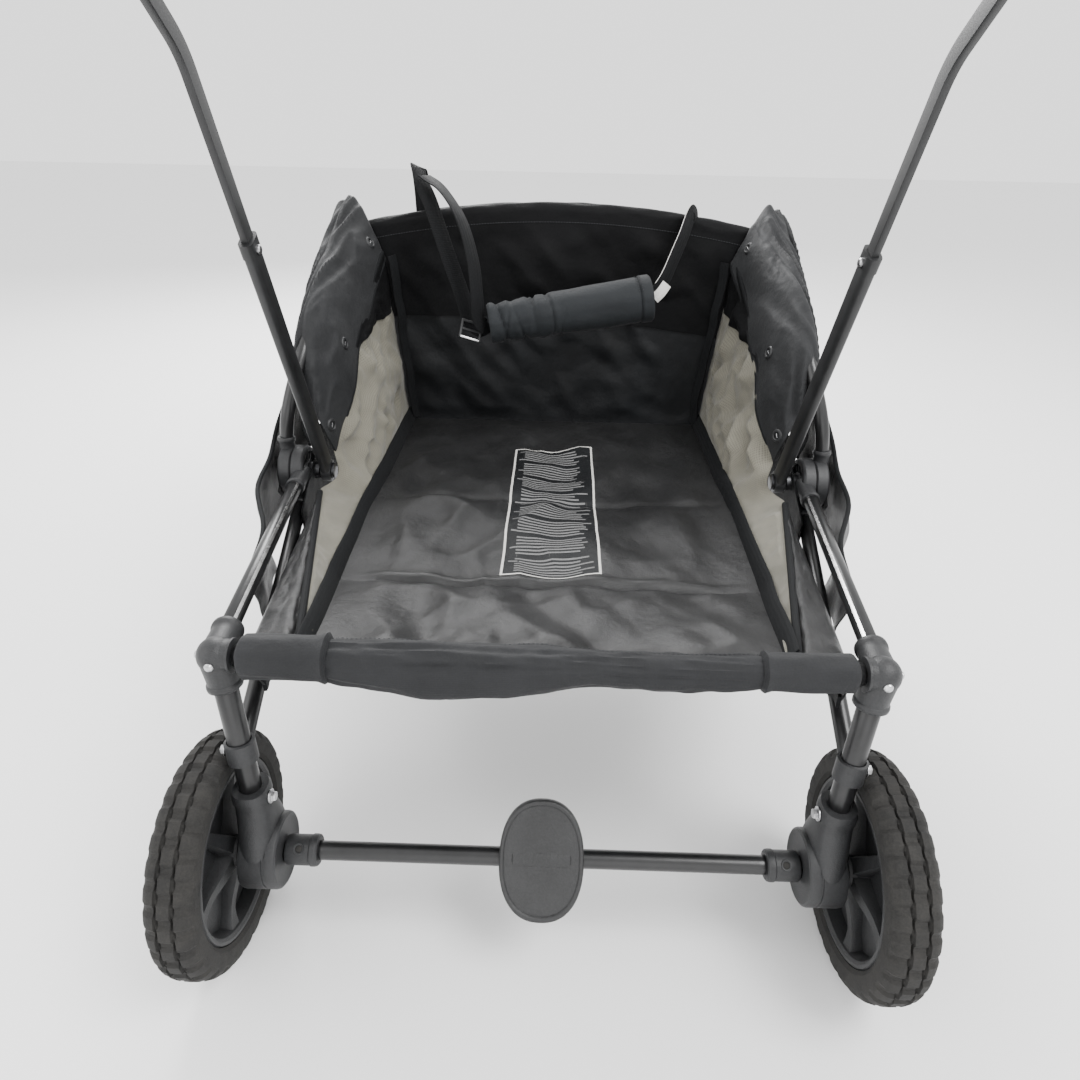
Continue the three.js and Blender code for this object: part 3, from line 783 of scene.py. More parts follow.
def rear_skirts():
    """The black fabric outside each net: a rolled top edge, then a skirt that hangs inside the side rail."""
    for name, side in SIDES:
        rear = RAMP_END.y - 0.002
        front = FOLD.y - 0.060

        def point(s, t, side=side):
            y = mix(rear, front, t)
            share = min(1.0, max(0.0, (y - RAMP_END.y) / (FOLD.y - 0.038 - RAMP_END.y)))
            inner = mix(0.238, 0.306, share)
            outer = mix(0.284, 0.318, share)
            top = mix(0.347, 0.331, share)
            stations = (
                (inner + 0.001, top - 0.006),
                (inner + 0.006, top + 0.002),
                (mix(inner, outer, 0.5), top - 0.003),
                (outer - 0.003, top - 0.010),
                (outer, top - 0.026),
                (outer - 0.002, 0.272),
                (outer - 0.006, 0.236),
            )
            drop = mix(0.30, 1.0, ease(t, 0.0, 0.38))
            edge = top - 0.026
            flat = curve_point(
                [(x, 0, z if z >= edge else edge - (edge - z) * drop) for x, z in stations], s
            )
            seed = 40.0 + side
            soft = rough((s * 0.10, y * 1.0, side), 26.0, seed) * 0.004
            soft += rough((s * 0.25, y, side), 60.0, seed) * 0.0016
            hang = ease(s, 0.5, 1.0)
            wave = math.sin(y * 46 + side) * 0.005 * hang
            return Vector((side * (flat.x + wave - soft * 0.5), y, flat.z + soft * (1 - hang)))
        skirt = fabric(
            f"rear_skirt_{name}", point, (40, 110), 0.002, BLACK_CANVAS, (0.16, front - rear)
        )
        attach(skirt, "rear_frame")
        hem = [point(1.0, i / 60) for i in range(61)]
        tape = band(f"skirt_hem_{name}", hem, 0.014, 0.0034, TAPE, (side, 0, 0))
        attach(tape, "rear_frame")


def wall_top(x):
    """The height of the arched top rail's axis."""
    return TOP_RAIL_END_Z + TOP_RAIL_RISE * (1 - (x / TOP_RAIL_HALF) ** 2)


WALL_TURN = 0.86


def front_wall():
    def point(s, t):
        x_top = mix(-1, 1, s) * 0.300
        x_low = mix(-1, 1, s) * FLOOR_HALF
        lift = min(1.0, t / WALL_TURN)
        x = mix(x_low, x_top, lift)
        over = 0.0128
        top = wall_top(x_top)
        if t < WALL_TURN:
            z = mix(FLOOR_Z - 0.002, top - 0.004, lift)
            y = mix(WALL_Y - 0.001, TOP_RAIL_Y - over, lift ** 3)
            margin = min(
                ease(s, 0, 0.08), ease(1 - s, 0, 0.08)
            ) * ease(t, 0, 0.08) * (1 - ease(t, 0.74, WALL_TURN))
            soft = rough((x * 1.3, 0, z * 0.6), 9.0, 51.0) * 0.010 + rough(
                (x * 1.2 + z, 0, z - x * 0.5), 19.0, 57.0
            ) * 0.006
            soft += (0.22 - abs(rough((x + z * 0.7, 0, z * 0.35), 14.0, 61.0))) * 0.014
            y -= max(-0.003, soft * margin * 0.9)
            return Vector((x, y, z))
        turn = (t - WALL_TURN) / (1 - WALL_TURN) * math.pi * 1.15
        ripple = rough((x * 3.0, turn * 0.2, 0), 9.0, 66.0) * 0.0014
        return Vector(
            (x, TOP_RAIL_Y - (over + ripple) * math.cos(turn), top + (over + ripple) * math.sin(turn))
        )
    wall = fabric("front_wall", point, (110, 110), 0.0022, WALL_CANVAS, (0.56, 0.37))
    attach(wall, "front_frame")
    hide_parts("tub_front_wall")
    hem = [point(0.02 + 0.96 * i / 80, 0.838) + Vector((0, -0.0042, 0.0004)) for i in range(81)]
    stitch_row("wall_hem_stitch", hem, (0, -1, 0.2), "front_frame")
    upper_part = fabric(
        "front_wall_yoke", lambda s,
        t: point(mix(0.005, 0.995, s), mix(0.50 - 0.07 * s, 0.93, t)) + Vector((0, -0.0028, 0.0004)),
        (110, 70), 0.0016, YOKE_CANVAS, (0.56, 0.20)
    )
    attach(upper_part, "front_frame")
    for name, side in SIDES:
        corner = []
        for i in range(41):
            share = i / 40
            sway = 0.004 * rough((share * 4, side, 0), 2.0, 71.0)
            corner.append(
                Vector(
                    (
                        side * (mix(FLOOR_HALF, 0.272, share) - 0.012 + sway), WALL_Y - 0.010,
                        mix(FLOOR_Z + 0.004, 0.572, share)
                    )
                )
            )
        tape = band(
            f"corner_binding_{name}", corner, 0.015, 0.0022, TAPE, (-side * 0.7, -0.7, 0)
        )
        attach(tape, "front_frame")


def stitch_row(name, path, facing, body, mat=None, pitch=0.0042, size=0.0009):
    """A row of single stitches lying on a path."""
    points = [Vector(p) for p in path]
    length = sum((b - a).length for a, b in zip(points, points[1:]))
    count = int(length / pitch)
    out = Vector(facing).normalized()
    verts = []
    faces = []
    uvs = []
    for i in range(count):
        a = curve_point(points, (i + 0.15) / count)
        b = curve_point(points, (i + 0.78) / count)
        along = (b - a).normalized()
        across = along.cross(out).normalized() * size / 2
        lift = out * size * 0.55
        base = len(verts)
        verts += [a - across, a + across, b + across, b - across]
        verts += [a.lerp(b, 0.25) - across * 0.6 + lift, a.lerp(b, 0.25) + across * 0.6 + lift]
        verts += [a.lerp(b, 0.75) + across * 0.6 + lift, a.lerp(b, 0.75) - across * 0.6 + lift]
        for face in ((0, 1, 5, 4), (1, 2, 6, 5), (2, 3, 7, 6), (3, 0, 4, 7), (4, 5, 6, 7), (3, 2, 1, 0)):
            faces.append(tuple(base + v for v in face))
            uvs += [(0, 0), (size, 0), (size, size), (0, size)]
    row = build(name, verts, faces, uvs, mat or STITCH, 60)
    if body:
        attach(row, body)
    return row


STITCH = webbing_finish("stitch_thread", (0.020, 0.021, 0.023), (0.055, 0.057, 0.060))

# ---- Rail sleeves, rear rail cover, strap and label panel ----------------------------------------

FRONT_RAIL = (
    (0.364, 0.104, 0.372), (0.354, 0.114, 0.430), (0.334, 0.166, 0.506), (0.326, 0.280, 0.566),
    (0.326, 0.416, 0.627)
)
SLEEVE_RIDGE = (
    (0.330, 0.124, 0.408), (0.334, 0.152, 0.500), (0.330, 0.230, 0.560), (0.326, 0.330, 0.606),
    (0.321, 0.412, 0.646)
)
SLEEVE_INNER = (
    (0.305, 0.128, 0.352), (0.290, 0.178, 0.408), (0.287, 0.236, 0.462), (0.284, 0.310, 0.506),
    (0.270, 0.392, 0.566)
)
SLEEVE_OUTER = (
    (0.338, 0.124, 0.366), (0.345, 0.160, 0.430), (0.350, 0.240, 0.500), (0.355, 0.330, 0.556),
    (0.349, 0.408, 0.592)
)


def sleeve_point(side, s, t):
    share = min(t / 0.93, 1.0)
    ridge = curve_point(SLEEVE_RIDGE, share)
    inner = curve_point(SLEEVE_INNER, share)
    outer = curve_point(SLEEVE_OUTER, share)
    shoulder_in = ridge + Vector((-0.008, -0.002, 0.001))
    shoulder_out = ridge + Vector((0.010, 0.0, -0.001))
    puff_in = inner.lerp(shoulder_in, 0.5) + Vector((-0.002, -0.008, 0.009))
    puff_out = outer.lerp(shoulder_out, 0.55) + Vector((0.006, -0.001, 0.007))
    place = curve_point([inner, puff_in, shoulder_in, shoulder_out, puff_out, outer], s)
    if t > 0.93:
        turn = (t - 0.93) / 0.07 * math.pi / 2
        heart = Vector((0.318, 0.412, 0.622))
        place = heart + (place - heart) * max(0.04, math.cos(turn))
        place.y += 0.020 * math.sin(turn)
    seed = 80.0 + side * 2
    long_fold = rough((s * 1.0, t * 0.42, 0), 7.0, seed) * 0.0085
    crease = (0.22 - abs(rough((s * 1.1 + t * 0.7, t * 0.65, 0), 7.0, seed + 4))) * 0.0150
    pucker = (0.2 - abs(rough((s * 0.7, t * 2.2, 0), 8.0, seed + 8))) * 0.0022 * (1 - ease(s, 0.2, 0.6))
    fade = ease(t, 0.0, 0.06) * (1 - 0.6 * ease(t, 0.9, 1.0)) * (0.45 + 0.55 * ease(s, 0.0, 0.22))
    lift = (long_fold + crease + pucker) * fade
    wave = math.sin(t * 17 + side) * 0.0016 * (1 - ease(s, 0, 0.2))
    place += Vector((wave, -0.45 * lift, 0.89 * lift))
    return side_x(side, place)


def rail_sleeves():
    for name, side in SIDES:
        sleeve = fabric(
            f"rail_sleeve_cloth_{name}", lambda s, t, side=side: sleeve_point(side, s, t), (60, 190),
            0.0028, SLEEVE_CLOTH, (0.13, 0.42)
        )
        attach(sleeve, "front_frame")
        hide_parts(f"rail_sleeve_{name}")
        edge = [sleeve_point(side, 0.0, i / 90 * 0.95) for i in range(91)]
        hem = tube(f"sleeve_hem_{name}", edge, 0.0026, TAPE, 10)
        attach(hem, "front_frame")
        outer_edge = [sleeve_point(side, 1.0, i / 90 * 0.95) for i in range(91)]
        outer_hem = tube(f"sleeve_outer_hem_{name}", outer_edge, 0.0026, TAPE, 10)
        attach(outer_hem, "front_frame")
        stitch = [sleeve_point(side, 0.05, i / 60 * 0.9) + Vector((0, -0.0008, 0.0016)) for i in range(61)]
        stitch_row(f"sleeve_stitch_{name}", stitch, (0, -0.45, 0.9), "front_frame")
        for k, (s, t) in enumerate(((0.13, 0.06), (0.13, 0.40), (0.16, 0.88))):
            place = sleeve_point(side, s, t)
            across = sleeve_point(side, s + 0.04, t) - place
            along = sleeve_point(side, s, t + 0.01) - place
            normal = across.cross(along).normalized()
            if normal.y > 0:
                normal = -normal
            eyelet(f"sleeve_eyelet_{name}_{k + 1}", place + normal * 0.0012, normal, along)


def eyelet(name, place, normal, up):
    """A snap socket: a moulded ring with a dark well and a small steel stud."""
    ring = turned(
        name,
        [
            (-0.001, 0.0045), (0.0012, 0.0047), (0.0022, 0.0060), (0.0020, 0.0078), (0.0004, 0.0092),
            (-0.001, 0.0092), (-0.001, 0.0045)
        ],
        (0, 0, 0), PLASTIC, "Z", 32
    )
    ring.data.transform(along_axis(place, normal, up))
    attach(ring, "front_frame")
    well = turned(
        f"{name}_well", [(-0.0012, 0.0), (-0.0004, 0.0), (-0.0004, 0.0046), (-0.0012, 0.0046)], (0, 0, 0),
        RUBBER, "Z", 24
    )
    well.data.transform(along_axis(place, normal, up))
    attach(well, "front_frame")
    stud = slab(
        f"{name}_stud", (0.0068, 0.0012, 0.0016), along_axis(place + Vector(normal) * 0.0006, normal, up),
        STEEL, 0.0004
    )
    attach(stud, "front_frame")


def rail_cover():
    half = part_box("rear_rail_cover")[1].x
    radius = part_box("rear_rail_cover")[1].z - REAR_RAIL.z
    rings = []
    count = 170
    for i in range(count + 1):
        x = mix(-half, half, i / count)
        ring = []
        for k in range(56):
            turn = 2 * math.pi * k / 56
            out = Vector((0, math.cos(turn), math.sin(turn)))
            low = max(0.0, -out.dot(Vector((0, 0.50, 0.866))))
            sag = 0.017 * math.exp(
                -((x + 0.085) / 0.085) ** 2
            ) + 0.006 * math.exp(-((x - 0.10) / 0.10) ** 2)
            soft = rough((x * 1.0, turn * 0.06, 0), 13.0, 90.0) * 0.0030
            soft += rough((x * 1.6, turn * 0.10, 0), 26.0, 93.0) * 0.0018
            soft += (0.2 - abs(rough((x * 0.5, turn * 0.16, 0), 12.0, 96.0))) * 0.0050
            r = radius - 0.0024 + max(-0.0030, soft) + sag * low ** 2
            r -= 0.0018 * (1 - ease(x, -0.205, -0.185)) + 0.0012 * ease(x, 0.180, 0.20)
            r = max(0.0128, r - 0.0042 * ease(x, -0.03, 0.06))
            ring.append(REAR_RAIL + Vector((x, 0, 0)) + out * r)
        rings.append(ring)
    rings_of_cover = rings
    cover = skin("rail_cover_cloth", rings, CHARCOAL, angle=60)
    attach(cover, "rear_frame")
    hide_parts("rear_rail_cover")
    for name, x0, x1 in (("left", -half - 0.001, -0.196), ("right", 0.192, half + 0.001)):
        rings = []
        for i in range(31):
            share = i / 30
            x = mix(x0, x1, share)
            lip = math.exp(-((share - (0.97 if x0 < 0 else 0.03)) / 0.05) ** 2)
            ring = []
            for k in range(48):
                turn = 2 * math.pi * k / 48
                soft = rough((x * 1.2, turn * 0.10, 0), 16.0, 98.0) * 0.0022
                r = radius + 0.0010 + soft + 0.0022 * lip - 0.004 * (
                    1 if i in (0, 30) else 0
                ) - (0.0036 if x0 > 0 else 0)
                ring.append(REAR_RAIL + Vector((x, math.cos(turn) * r, math.sin(turn) * r)))
            rings.append(ring)
        cuff = skin(f"rail_cuff_{name}", rings, CHARCOAL, angle=60)
        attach(cuff, "rear_frame")
    seam = []
    for ring in rings_of_cover[22:-26:2]:
        seam.append(ring[9] + (ring[9] - REAR_RAIL - Vector((ring[9].x, 0, 0))).normalized() * 0.0006)
    stitch_row("rail_cover_stitch", seam, (0, 0.5, 0.85), "rear_frame")


PAD_LEFT = Vector((-0.098, 0.270, 0.502))
PAD_RIGHT = Vector((0.137, 0.300, 0.537))


def pad_ring(share, radius, count=64):
    place = PAD_LEFT.lerp(PAD_RIGHT, share)
    tangent = (PAD_RIGHT - PAD_LEFT).normalized()
    back = (Vector((0, -1, 0)) - tangent * tangent.dot(Vector((0, -1, 0)))).normalized()
    up = tangent.cross(back)
    if up.z < 0:
        up = -up
    ring = []
    for k in range(count):
        turn = 2 * math.pi * k / count
        r = radius(share, turn)
        ring.append(place + back * math.cos(turn) * r + up * math.sin(turn) * r * 0.97)
    return ring


def grab_strap():
    def puffed(share, turn):
        base = mix(0.0285, 0.0330, ease(share, 0.0, 0.7))
        tuck = 1 - ease(share, 0.15, 0.72)
        lines = rough((share * 2.6, math.sin(turn) * 0.06, math.cos(turn) * 0.06), 8.0, 101.0)
        creases = 0.0
        for where, deep, skew in (
            (0.07, 0.8, 0.02), (0.12, 0.9, -0.02), (0.18, 1.0, 0.03), (0.23, 0.7, -0.03), (0.29, 1.0, 0.02),
            (0.37, 1.0, -0.02), (0.47, 0.9, 0.04), (0.56, 0.6, 0.03)
        ):
            line = where + skew * math.cos(turn * 1.0 + where * 9)
            creases -= deep * math.exp(-((share - line) / 0.0095) ** 2) * (
                0.55 + 0.45 * math.sin(turn + where * 20)
            )
        soft = tuck * (lines * 0.0026 + creases * 0.0050)
        soft += rough((share * 0.9, math.cos(turn) * 0.3, math.sin(turn) * 0.3), 4.0, 105.0) * 0.0016
        hem = 0.0012 * ease(share, 0.925, 0.935) - 0.0022 * math.exp(-((share - 0.925) / 0.006) ** 2)
        flat = 0.94 + 0.06 * abs(math.sin(turn))
        return (base + soft + hem) * flat

    rings = [pad_ring(0.03, lambda s, a: 0.010), pad_ring(0.012, lambda s, a: puffed(0, a) * 0.72)]
    rings += [pad_ring(0.0, lambda s, a: puffed(0, a) * 0.94)]
    rings += [pad_ring(mix(0.012, 0.992, i / 120), puffed) for i in range(121)]
    rings += [
        pad_ring(1.0, lambda s, a: puffed(1, a) * 0.95), pad_ring(0.985, lambda s, a: puffed(1, a) * 0.80)
    ]
    rings += [pad_ring(0.95, lambda s, a: 0.012)]
    pad = skin("grab_strap_roll", rings, PAD_CLOTH, angle=60)
    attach(pad, "front_frame")
    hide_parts("grab_strap_pad")
    for k, share in enumerate((0.915, 0.937)):
        path = pad_ring(share, lambda s, a: puffed(s, a) + 0.0006, 64)
        stitch_row(f"strap_roll_stitch_{k + 1}", path[6:40], (0, -0.8, 0.6), "front_frame", pitch=0.0036)

    left = (
        (-0.099, 0.268, 0.503), (-0.112, 0.267, 0.496), (-0.127, 0.276, 0.508), (-0.138, 0.292, 0.535),
        (-0.165, 0.330, 0.594), (-0.190, 0.372, 0.648), (-0.206, 0.396, 0.676), (-0.214, 0.420, 0.694),
        (-0.214, 0.436, 0.680), (-0.213, 0.440, 0.640), (-0.213, 0.440, 0.592)
    )
    band_left = band(
        "grab_webbing_left", curve_points(left, 80), 0.025, 0.0022, WEBBING,
        lambda share: Vector((0.55, -0.80, 0.1)).lerp(Vector((0.1, 0.6, 0.8)), ease(share, 0.55, 0.8))
    )
    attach(band_left, "front_frame")
    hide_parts("grab_strap_left")
    second = (
        (-0.104, 0.262, 0.500), (-0.112, 0.255, 0.512), (-0.114, 0.262, 0.545), (-0.122, 0.290, 0.590),
        (-0.142, 0.332, 0.636), (-0.172, 0.374, 0.668), (-0.202, 0.398, 0.684)
    )
    band_second = band(
        "grab_webbing_second", curve_points(second, 60), 0.025, 0.0020, WEBBING,
        (0.75, -0.55, 0.3)
    )
    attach(band_second, "front_frame")
    right = (
        (0.128, 0.300, 0.536), (0.142, 0.302, 0.541), (0.158, 0.318, 0.560), (0.173, 0.342, 0.588),
        (0.186, 0.366, 0.612), (0.197, 0.392, 0.634), (0.204, 0.404, 0.640), (0.206, 0.407, 0.626)
    )
    band_right = band(
        "grab_webbing_right", curve_points(right, 70), 0.025, 0.0022, WEBBING,
        (0.78, -0.55, 0.25)
    )
    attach(band_right, "front_frame")
    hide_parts("grab_strap_right")
    # Painted highlight: a thin pale line along the right webbing's outer edge stands in for the lit edge of
    # the black webbing.
    spine = curve_points(right, 70)
    outward = Vector((0.78, -0.55, 0.25)).normalized()
    pale = []
    for i in range(14, 62):
        across = (spine[i + 1] - spine[i - 1]).cross(outward).normalized()
        if across.x > 0:
            across = -across
        pale.append(spine[i] + across * 0.0124)
    edge = tube("grab_webbing_painted_highlight", pale, 0.0005, PALE_TAPE_AND_HIGHLIGHT, 8)
    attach(edge, "front_frame")
    tag = band(
        "strap_tag",
        curve_points(((0.141, 0.283, 0.540), (0.150, 0.285, 0.549), (0.158, 0.290, 0.560)), 16), 0.015,
        0.0010, PALE_TAPE_AND_HIGHLIGHT, (0.3, -0.9, 0.35)
    )
    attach(tag, "front_frame")
    ladder = Vector((-0.124, 0.262, 0.494))
    turn = along_axis(ladder, (0.35, -0.80, 0.45), (0.9, 0.2, -0.3))
    frame_size = (
        (0.030, 0.004, 0.003, 0.0, 0.012), (0.030, 0.004, 0.003, 0.0, -0.012),
        (0.030, 0.0035, 0.003, 0.0, 0.0), (0.004, 0.028, 0.003, 0.0145, 0.0),
        (0.004, 0.028, 0.003, -0.0145, 0.0)
    )
    bars = [
        slab(
            f"strap_slider_{k}", (w, l, h), turn @ Matrix.Translation((x, y, 0)),
            STEEL if k == 1 else PLASTIC, 0.0012
        ) for k,
        (w, l, h, x, y) in enumerate(frame_size)
    ]
    for piece in bars:
        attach(piece, "front_frame")


def on_floor(x, y, lift):
    t = (y - RAMP_END.y) / (WALL_Y - 0.004 - RAMP_END.y)
    s = (x / floor_half(y) + 1) / 2
    return floor_point(s, t) + Vector((0, 0, 0.00125 + lift))


def strip_on_floor(verts, faces, x0, x1, y0, y1, lift, cells):
    """A thin printed strip that follows the floor."""
    across, along = cells
    base = len(verts)
    for i in range(along + 1):
        for j in range(across + 1):
            verts.append(on_floor(mix(x0, x1, j / across), mix(y0, y1, i / along), lift))
    wide = across + 1
    for i in range(along):
        for j in range(across):
            a = base + i * wide + j
            faces.append((a, a + 1, a + 1 + wide, a + wide))


def label_panel():
    """The sewn-in panel: a pale border with plain grey bars, and nothing to read."""
    x0, x1, y0, y1 = -0.0590, 0.0620, -0.090, 0.268
    jobs = (
        ("label_patch", WALL_CANVAS, 0.0003, [(x0, x1, y0, y1)]),
        (
            "label_border", PALE_TAPE_AND_HIGHLIGHT, 0.0006,
            [
                (x0, x1, y0, y0 + 0.003), (x0, x1, y1 - 0.003, y1), (x0, x0 + 0.003, y0, y1),
                (x1 - 0.003, x1, y0, y1)
            ]
        ),
        ("label_bars", GREY_PRINT, 0.0006, label_bars(x0 + 0.008, x1 - 0.008, y0 + 0.008, y1 - 0.012)),
    )
    for name, mat, lift, strips in jobs:
        verts = []
        faces = []
        for a, b, c, d in strips:
            cells = (max(2, int((b - a) / 0.005)), max(1, int((d - c) / 0.004)))
            strip_on_floor(verts, faces, a, b, c, d, lift, cells)
        uvs = [(verts[v].x, verts[v].y) for face in faces for v in face]
        piece = build(name, verts, faces, uvs, mat, 60)
        across_fold(piece)


def label_bars(x0, x1, y0, y1):
    rows = []
    y = y1
    row = 0
    while y > y0:
        length = 0.78 + 0.22 * abs(rough((row * 0.7, 0.3, 0), 1.0, 120.0)) * 2
        indent = 0.008 if row % 5 else 0.0
        if row % 7 != 6:
            rows.append((x0 + indent, min(x1, x0 + (x1 - x0) * length), y - 0.0030, y))
        y -= 0.0062
        row += 1
    return rows


GREY_PRINT = webbing_finish("grey_print", (0.10, 0.10, 0.10), (0.24, 0.24, 0.24))


# ---- Frame tubes, corners, hubs ------------------------------------------------------------------

def rod(node, body, radius, signs, mat=None, name=None):
    start, end = axis_ends(node, radius, signs)
    piece = tube(
        name or f"{node}_tube", [start, start.lerp(end, 0.5), end], radius, mat or TUBE_COAT
    )
    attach(piece, body)
    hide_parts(node)
    return start, end


def rivet(name, place, direction, body, radius=0.0042, mat=None):
    head = turned(
        name,
        [
            (-0.001, 0.0), (0.0, radius), (0.0008, radius), (0.0020, radius * 0.8), (0.0027, radius * 0.35),
            (0.0028, 0.0)
        ],
        (0, 0, 0), mat or STEEL, "Z", 24
    )
    head.data.transform(along_axis(place, direction, (0, 0.3, 1)))
    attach(head, body)
    return head


def bolt(name, place, direction, body, radius=0.0062):
    """A hexagon bolt head on a washer."""
    at = along_axis(place, direction, (0, 0.3, 1))
    washer = turned(
        f"{name}_washer",
        [(0, 0.0), (0, radius * 1.45), (0.0009, radius * 1.45), (0.0013, radius * 1.36), (0.0013, 0.0)],
        (0, 0, 0), STEEL, "Z", 32
    )
    washer.data.transform(at)
    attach(washer, body)
    head = turned(
        name,
        [
            (0.0012, radius * 0.95), (0.0016, radius), (0.0046, radius), (0.0054, radius * 0.9),
            (0.0056, 0.0)
        ],
        (0, 0, 0), STEEL, "Z", 6, 20
    )
    head.data.transform(at)
    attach(head, body)


def socket(name, start, end, radius, body):
    """A tapered moulded socket with a lip at its mouth."""
    a = Vector(start)
    b = Vector(end)
    stations = (
        (0.0, 1.10), (0.25, 1.06), (0.6, 1.0), (0.80, 0.98), (0.84, 1.07), (0.90, 1.09), (0.97, 1.07),
        (1.0, 1.0)
    )
    path = [a.lerp(b, share) for share, _ in stations]
    pieces = frames(path)
    rings = [
        circle(place, u, v, radius * scale, 32) for (place, _, u, v), (_, scale) in zip(pieces, stations)
    ]
    piece = skin(name, rings, PLASTIC, angle=40)
    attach(piece, body)
    return piece


def rear_frame_tubes():
    rail = tube(
        "rear_rail_tube", [REAR_RAIL + Vector((x, 0, 0)) for x in (-0.283, 0, 0.283)], FRAME_R, TUBE_COAT,
    )
    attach(rail, "rear_frame")
    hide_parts("rear_top_rail")
    floor_bar = centre("rear_floor_bar")
    bar = tube(
        "rear_floor_tube", [floor_bar + Vector((x, 0, 0)) for x in (-0.308, 0, 0.308)], 0.008, TUBE_COAT,
    )
    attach(bar, "rear_frame")
    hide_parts("rear_floor_bar")
    for name, side in SIDES:
        foot, top = rod(f"rear_leg_{name}", "rear_frame", FRAME_R, (side, 1, 1))
        rear, front = rod(f"rear_side_rail_{name}", "rear_frame", RAIL_R, (side, 1, -1))
        rod(f"rear_brace_{name}", "rear_frame", RAIL_R, (side, 1, 1))
        # Painted highlight: a thin bright metal strip along the top outer edge of each rear side rail stands
        # in for the rail's highlight line.
        highlight_offset = Vector((-side * 0.0058, 0, 0.0071))
        highlight_strip = band(
            f"rail_highlight_strip_{name}", [rear.lerp(front, i / 12 * 0.86 + 0.08) + highlight_offset for i in range(13)],
            0.0034, 0.0012, RAIL_HIGHLIGHT_METAL, (-side * 0.63, 0, 0.77)
        )
        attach(highlight_strip, "rear_frame")
        middle = REAR_RAIL + Vector((side * 0.300, 0, 0))
        ball = turned(
            f"rear_corner_ball_{name}",
            [
                (-0.0175 * math.cos(math.pi * i / 20), 0.0175 * math.sin(math.pi * i / 20))
                for i in range(21)
            ],
            middle, PLASTIC, "X", 40, 60
        )
        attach(ball, "rear_frame")
        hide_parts(f"rear_corner_{name}")
        socket(
            f"rear_corner_rail_socket_{name}", middle, REAR_RAIL + Vector((side * 0.2835, 0, 0)), 0.0152,
            "rear_frame"
        )
        socket(
            f"rear_corner_leg_socket_{name}", middle,
            middle.lerp(Vector((side * 0.297, -0.307, 0.316)), 1.0), 0.0152, "rear_frame"
        )
        socket(f"rear_corner_side_socket_{name}", middle, rear.lerp(front, 0.075), 0.0140, "rear_frame")
        rivet(f"rear_corner_rivet_{name}", middle + Vector((0, -0.0172, 0)), (0, -1, 0.05), "rear_frame")
        rivet(
            f"rear_corner_side_rivet_{name}", middle + Vector((side * 0.0172, 0, 0)), (side, 0, 0),
            "rear_frame"
        )
        clamp = turned(
            f"brace_clamp_{name}",
            [(-0.012, 0.0118), (-0.011, 0.0145), (0.011, 0.0145), (0.012, 0.0118), (-0.012, 0.0118)],
            (0, 0, 0), PLASTIC, "Z", 32
        )
        joint = foot.lerp(top, (0.245 - foot.z) / (top.z - foot.z))
        clamp.data.transform(along_axis(joint, top - foot))
        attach(clamp, "rear_frame")
        bolt(
            f"brace_bolt_{name}", joint + Vector((side * 0.0140, 0, 0)), (side, 0, 0), "rear_frame", 0.0048
        )
        rivet(
            f"floor_bar_rivet_{name}", floor_bar + Vector((side * 0.3078, 0, 0)), (side, 0, 0),
            "rear_frame", 0.0055
        )
        wheel_carrier(name, side, foot, top)


def wheel_carrier(name, side, foot, top):
    low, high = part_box(f"wheel_carrier_{name}")
    x_in = min(abs(low.x), abs(high.x))
    x_out = 0.300
    place = (0, REAR_WHEEL.y, REAR_WHEEL.z)
    profile = [
        (x_in + 0.001, 0.012), (x_in + 0.001, 0.0315), (x_in, 0.0335), (x_in, 0.0352),
        (x_in + 0.0015, 0.0372), (x_in + 0.004, 0.038), (x_in + 0.010, 0.038), (x_in + 0.0105, 0.0368),
        (x_in + 0.0130, 0.0368), (x_in + 0.0135, 0.038), (x_out - 0.004, 0.038), (x_out - 0.001, 0.0372),
        (x_out, 0.0350), (x_out, 0.012), (x_in + 0.001, 0.012)
    ]
    drum = turned(
        f"wheel_carrier_drum_{name}", [(side * x, r) for x, r in profile], place, PLASTIC,
        "X", 80
    )
    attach(drum, "rear_frame")
    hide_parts(f"wheel_carrier_{name}")
    rings = []
    axis_top = foot.lerp(top, 0.25)
    for i in range(17):
        share = i / 16
        middle = Vector((side * 0.2815, REAR_WHEEL.y, REAR_WHEEL.z + 0.006)).lerp(axis_top, share)
        deep = mix(0.0345, 0.0178, ease(share, 0.15, 0.92))
        wide = mix(0.0185, 0.0165, share)
        lip = 0.0014 if 0.86 < share < 0.97 else 0.0
        ring = []
        for k in range(40):
            turn = 2 * math.pi * k / 40
            c = math.copysign(abs(math.cos(turn)) ** 0.8, math.cos(turn))
            s = math.copysign(abs(math.sin(turn)) ** 0.8, math.sin(turn))
            ring.append(middle + Vector((c * (wide + lip), s * (deep + lip), 0)))
        rings.append(ring)
    wedge = skin(f"wheel_carrier_leg_housing_{name}", rings, PLASTIC)
    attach(wedge, "rear_frame")
    bolt(
        f"carrier_bolt_{name}", axis_top.lerp(foot, 0.35) + Vector((-side * 0.0178, 0, 0.004)),
        (-side, 0, 0), "rear_frame", 0.0050
    )
    axle_low, axle_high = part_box(f"rear_axle_{name}")
    axle = tube(
        f"rear_axle_rod_{name}",
        [(axle_low.x, *place[1:]), (centre(f"rear_axle_{name}").x, *place[1:]), (axle_high.x, *place[1:])],
        0.006, STEEL
    )
    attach(axle, "rear_frame")
    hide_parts(f"rear_axle_{name}")


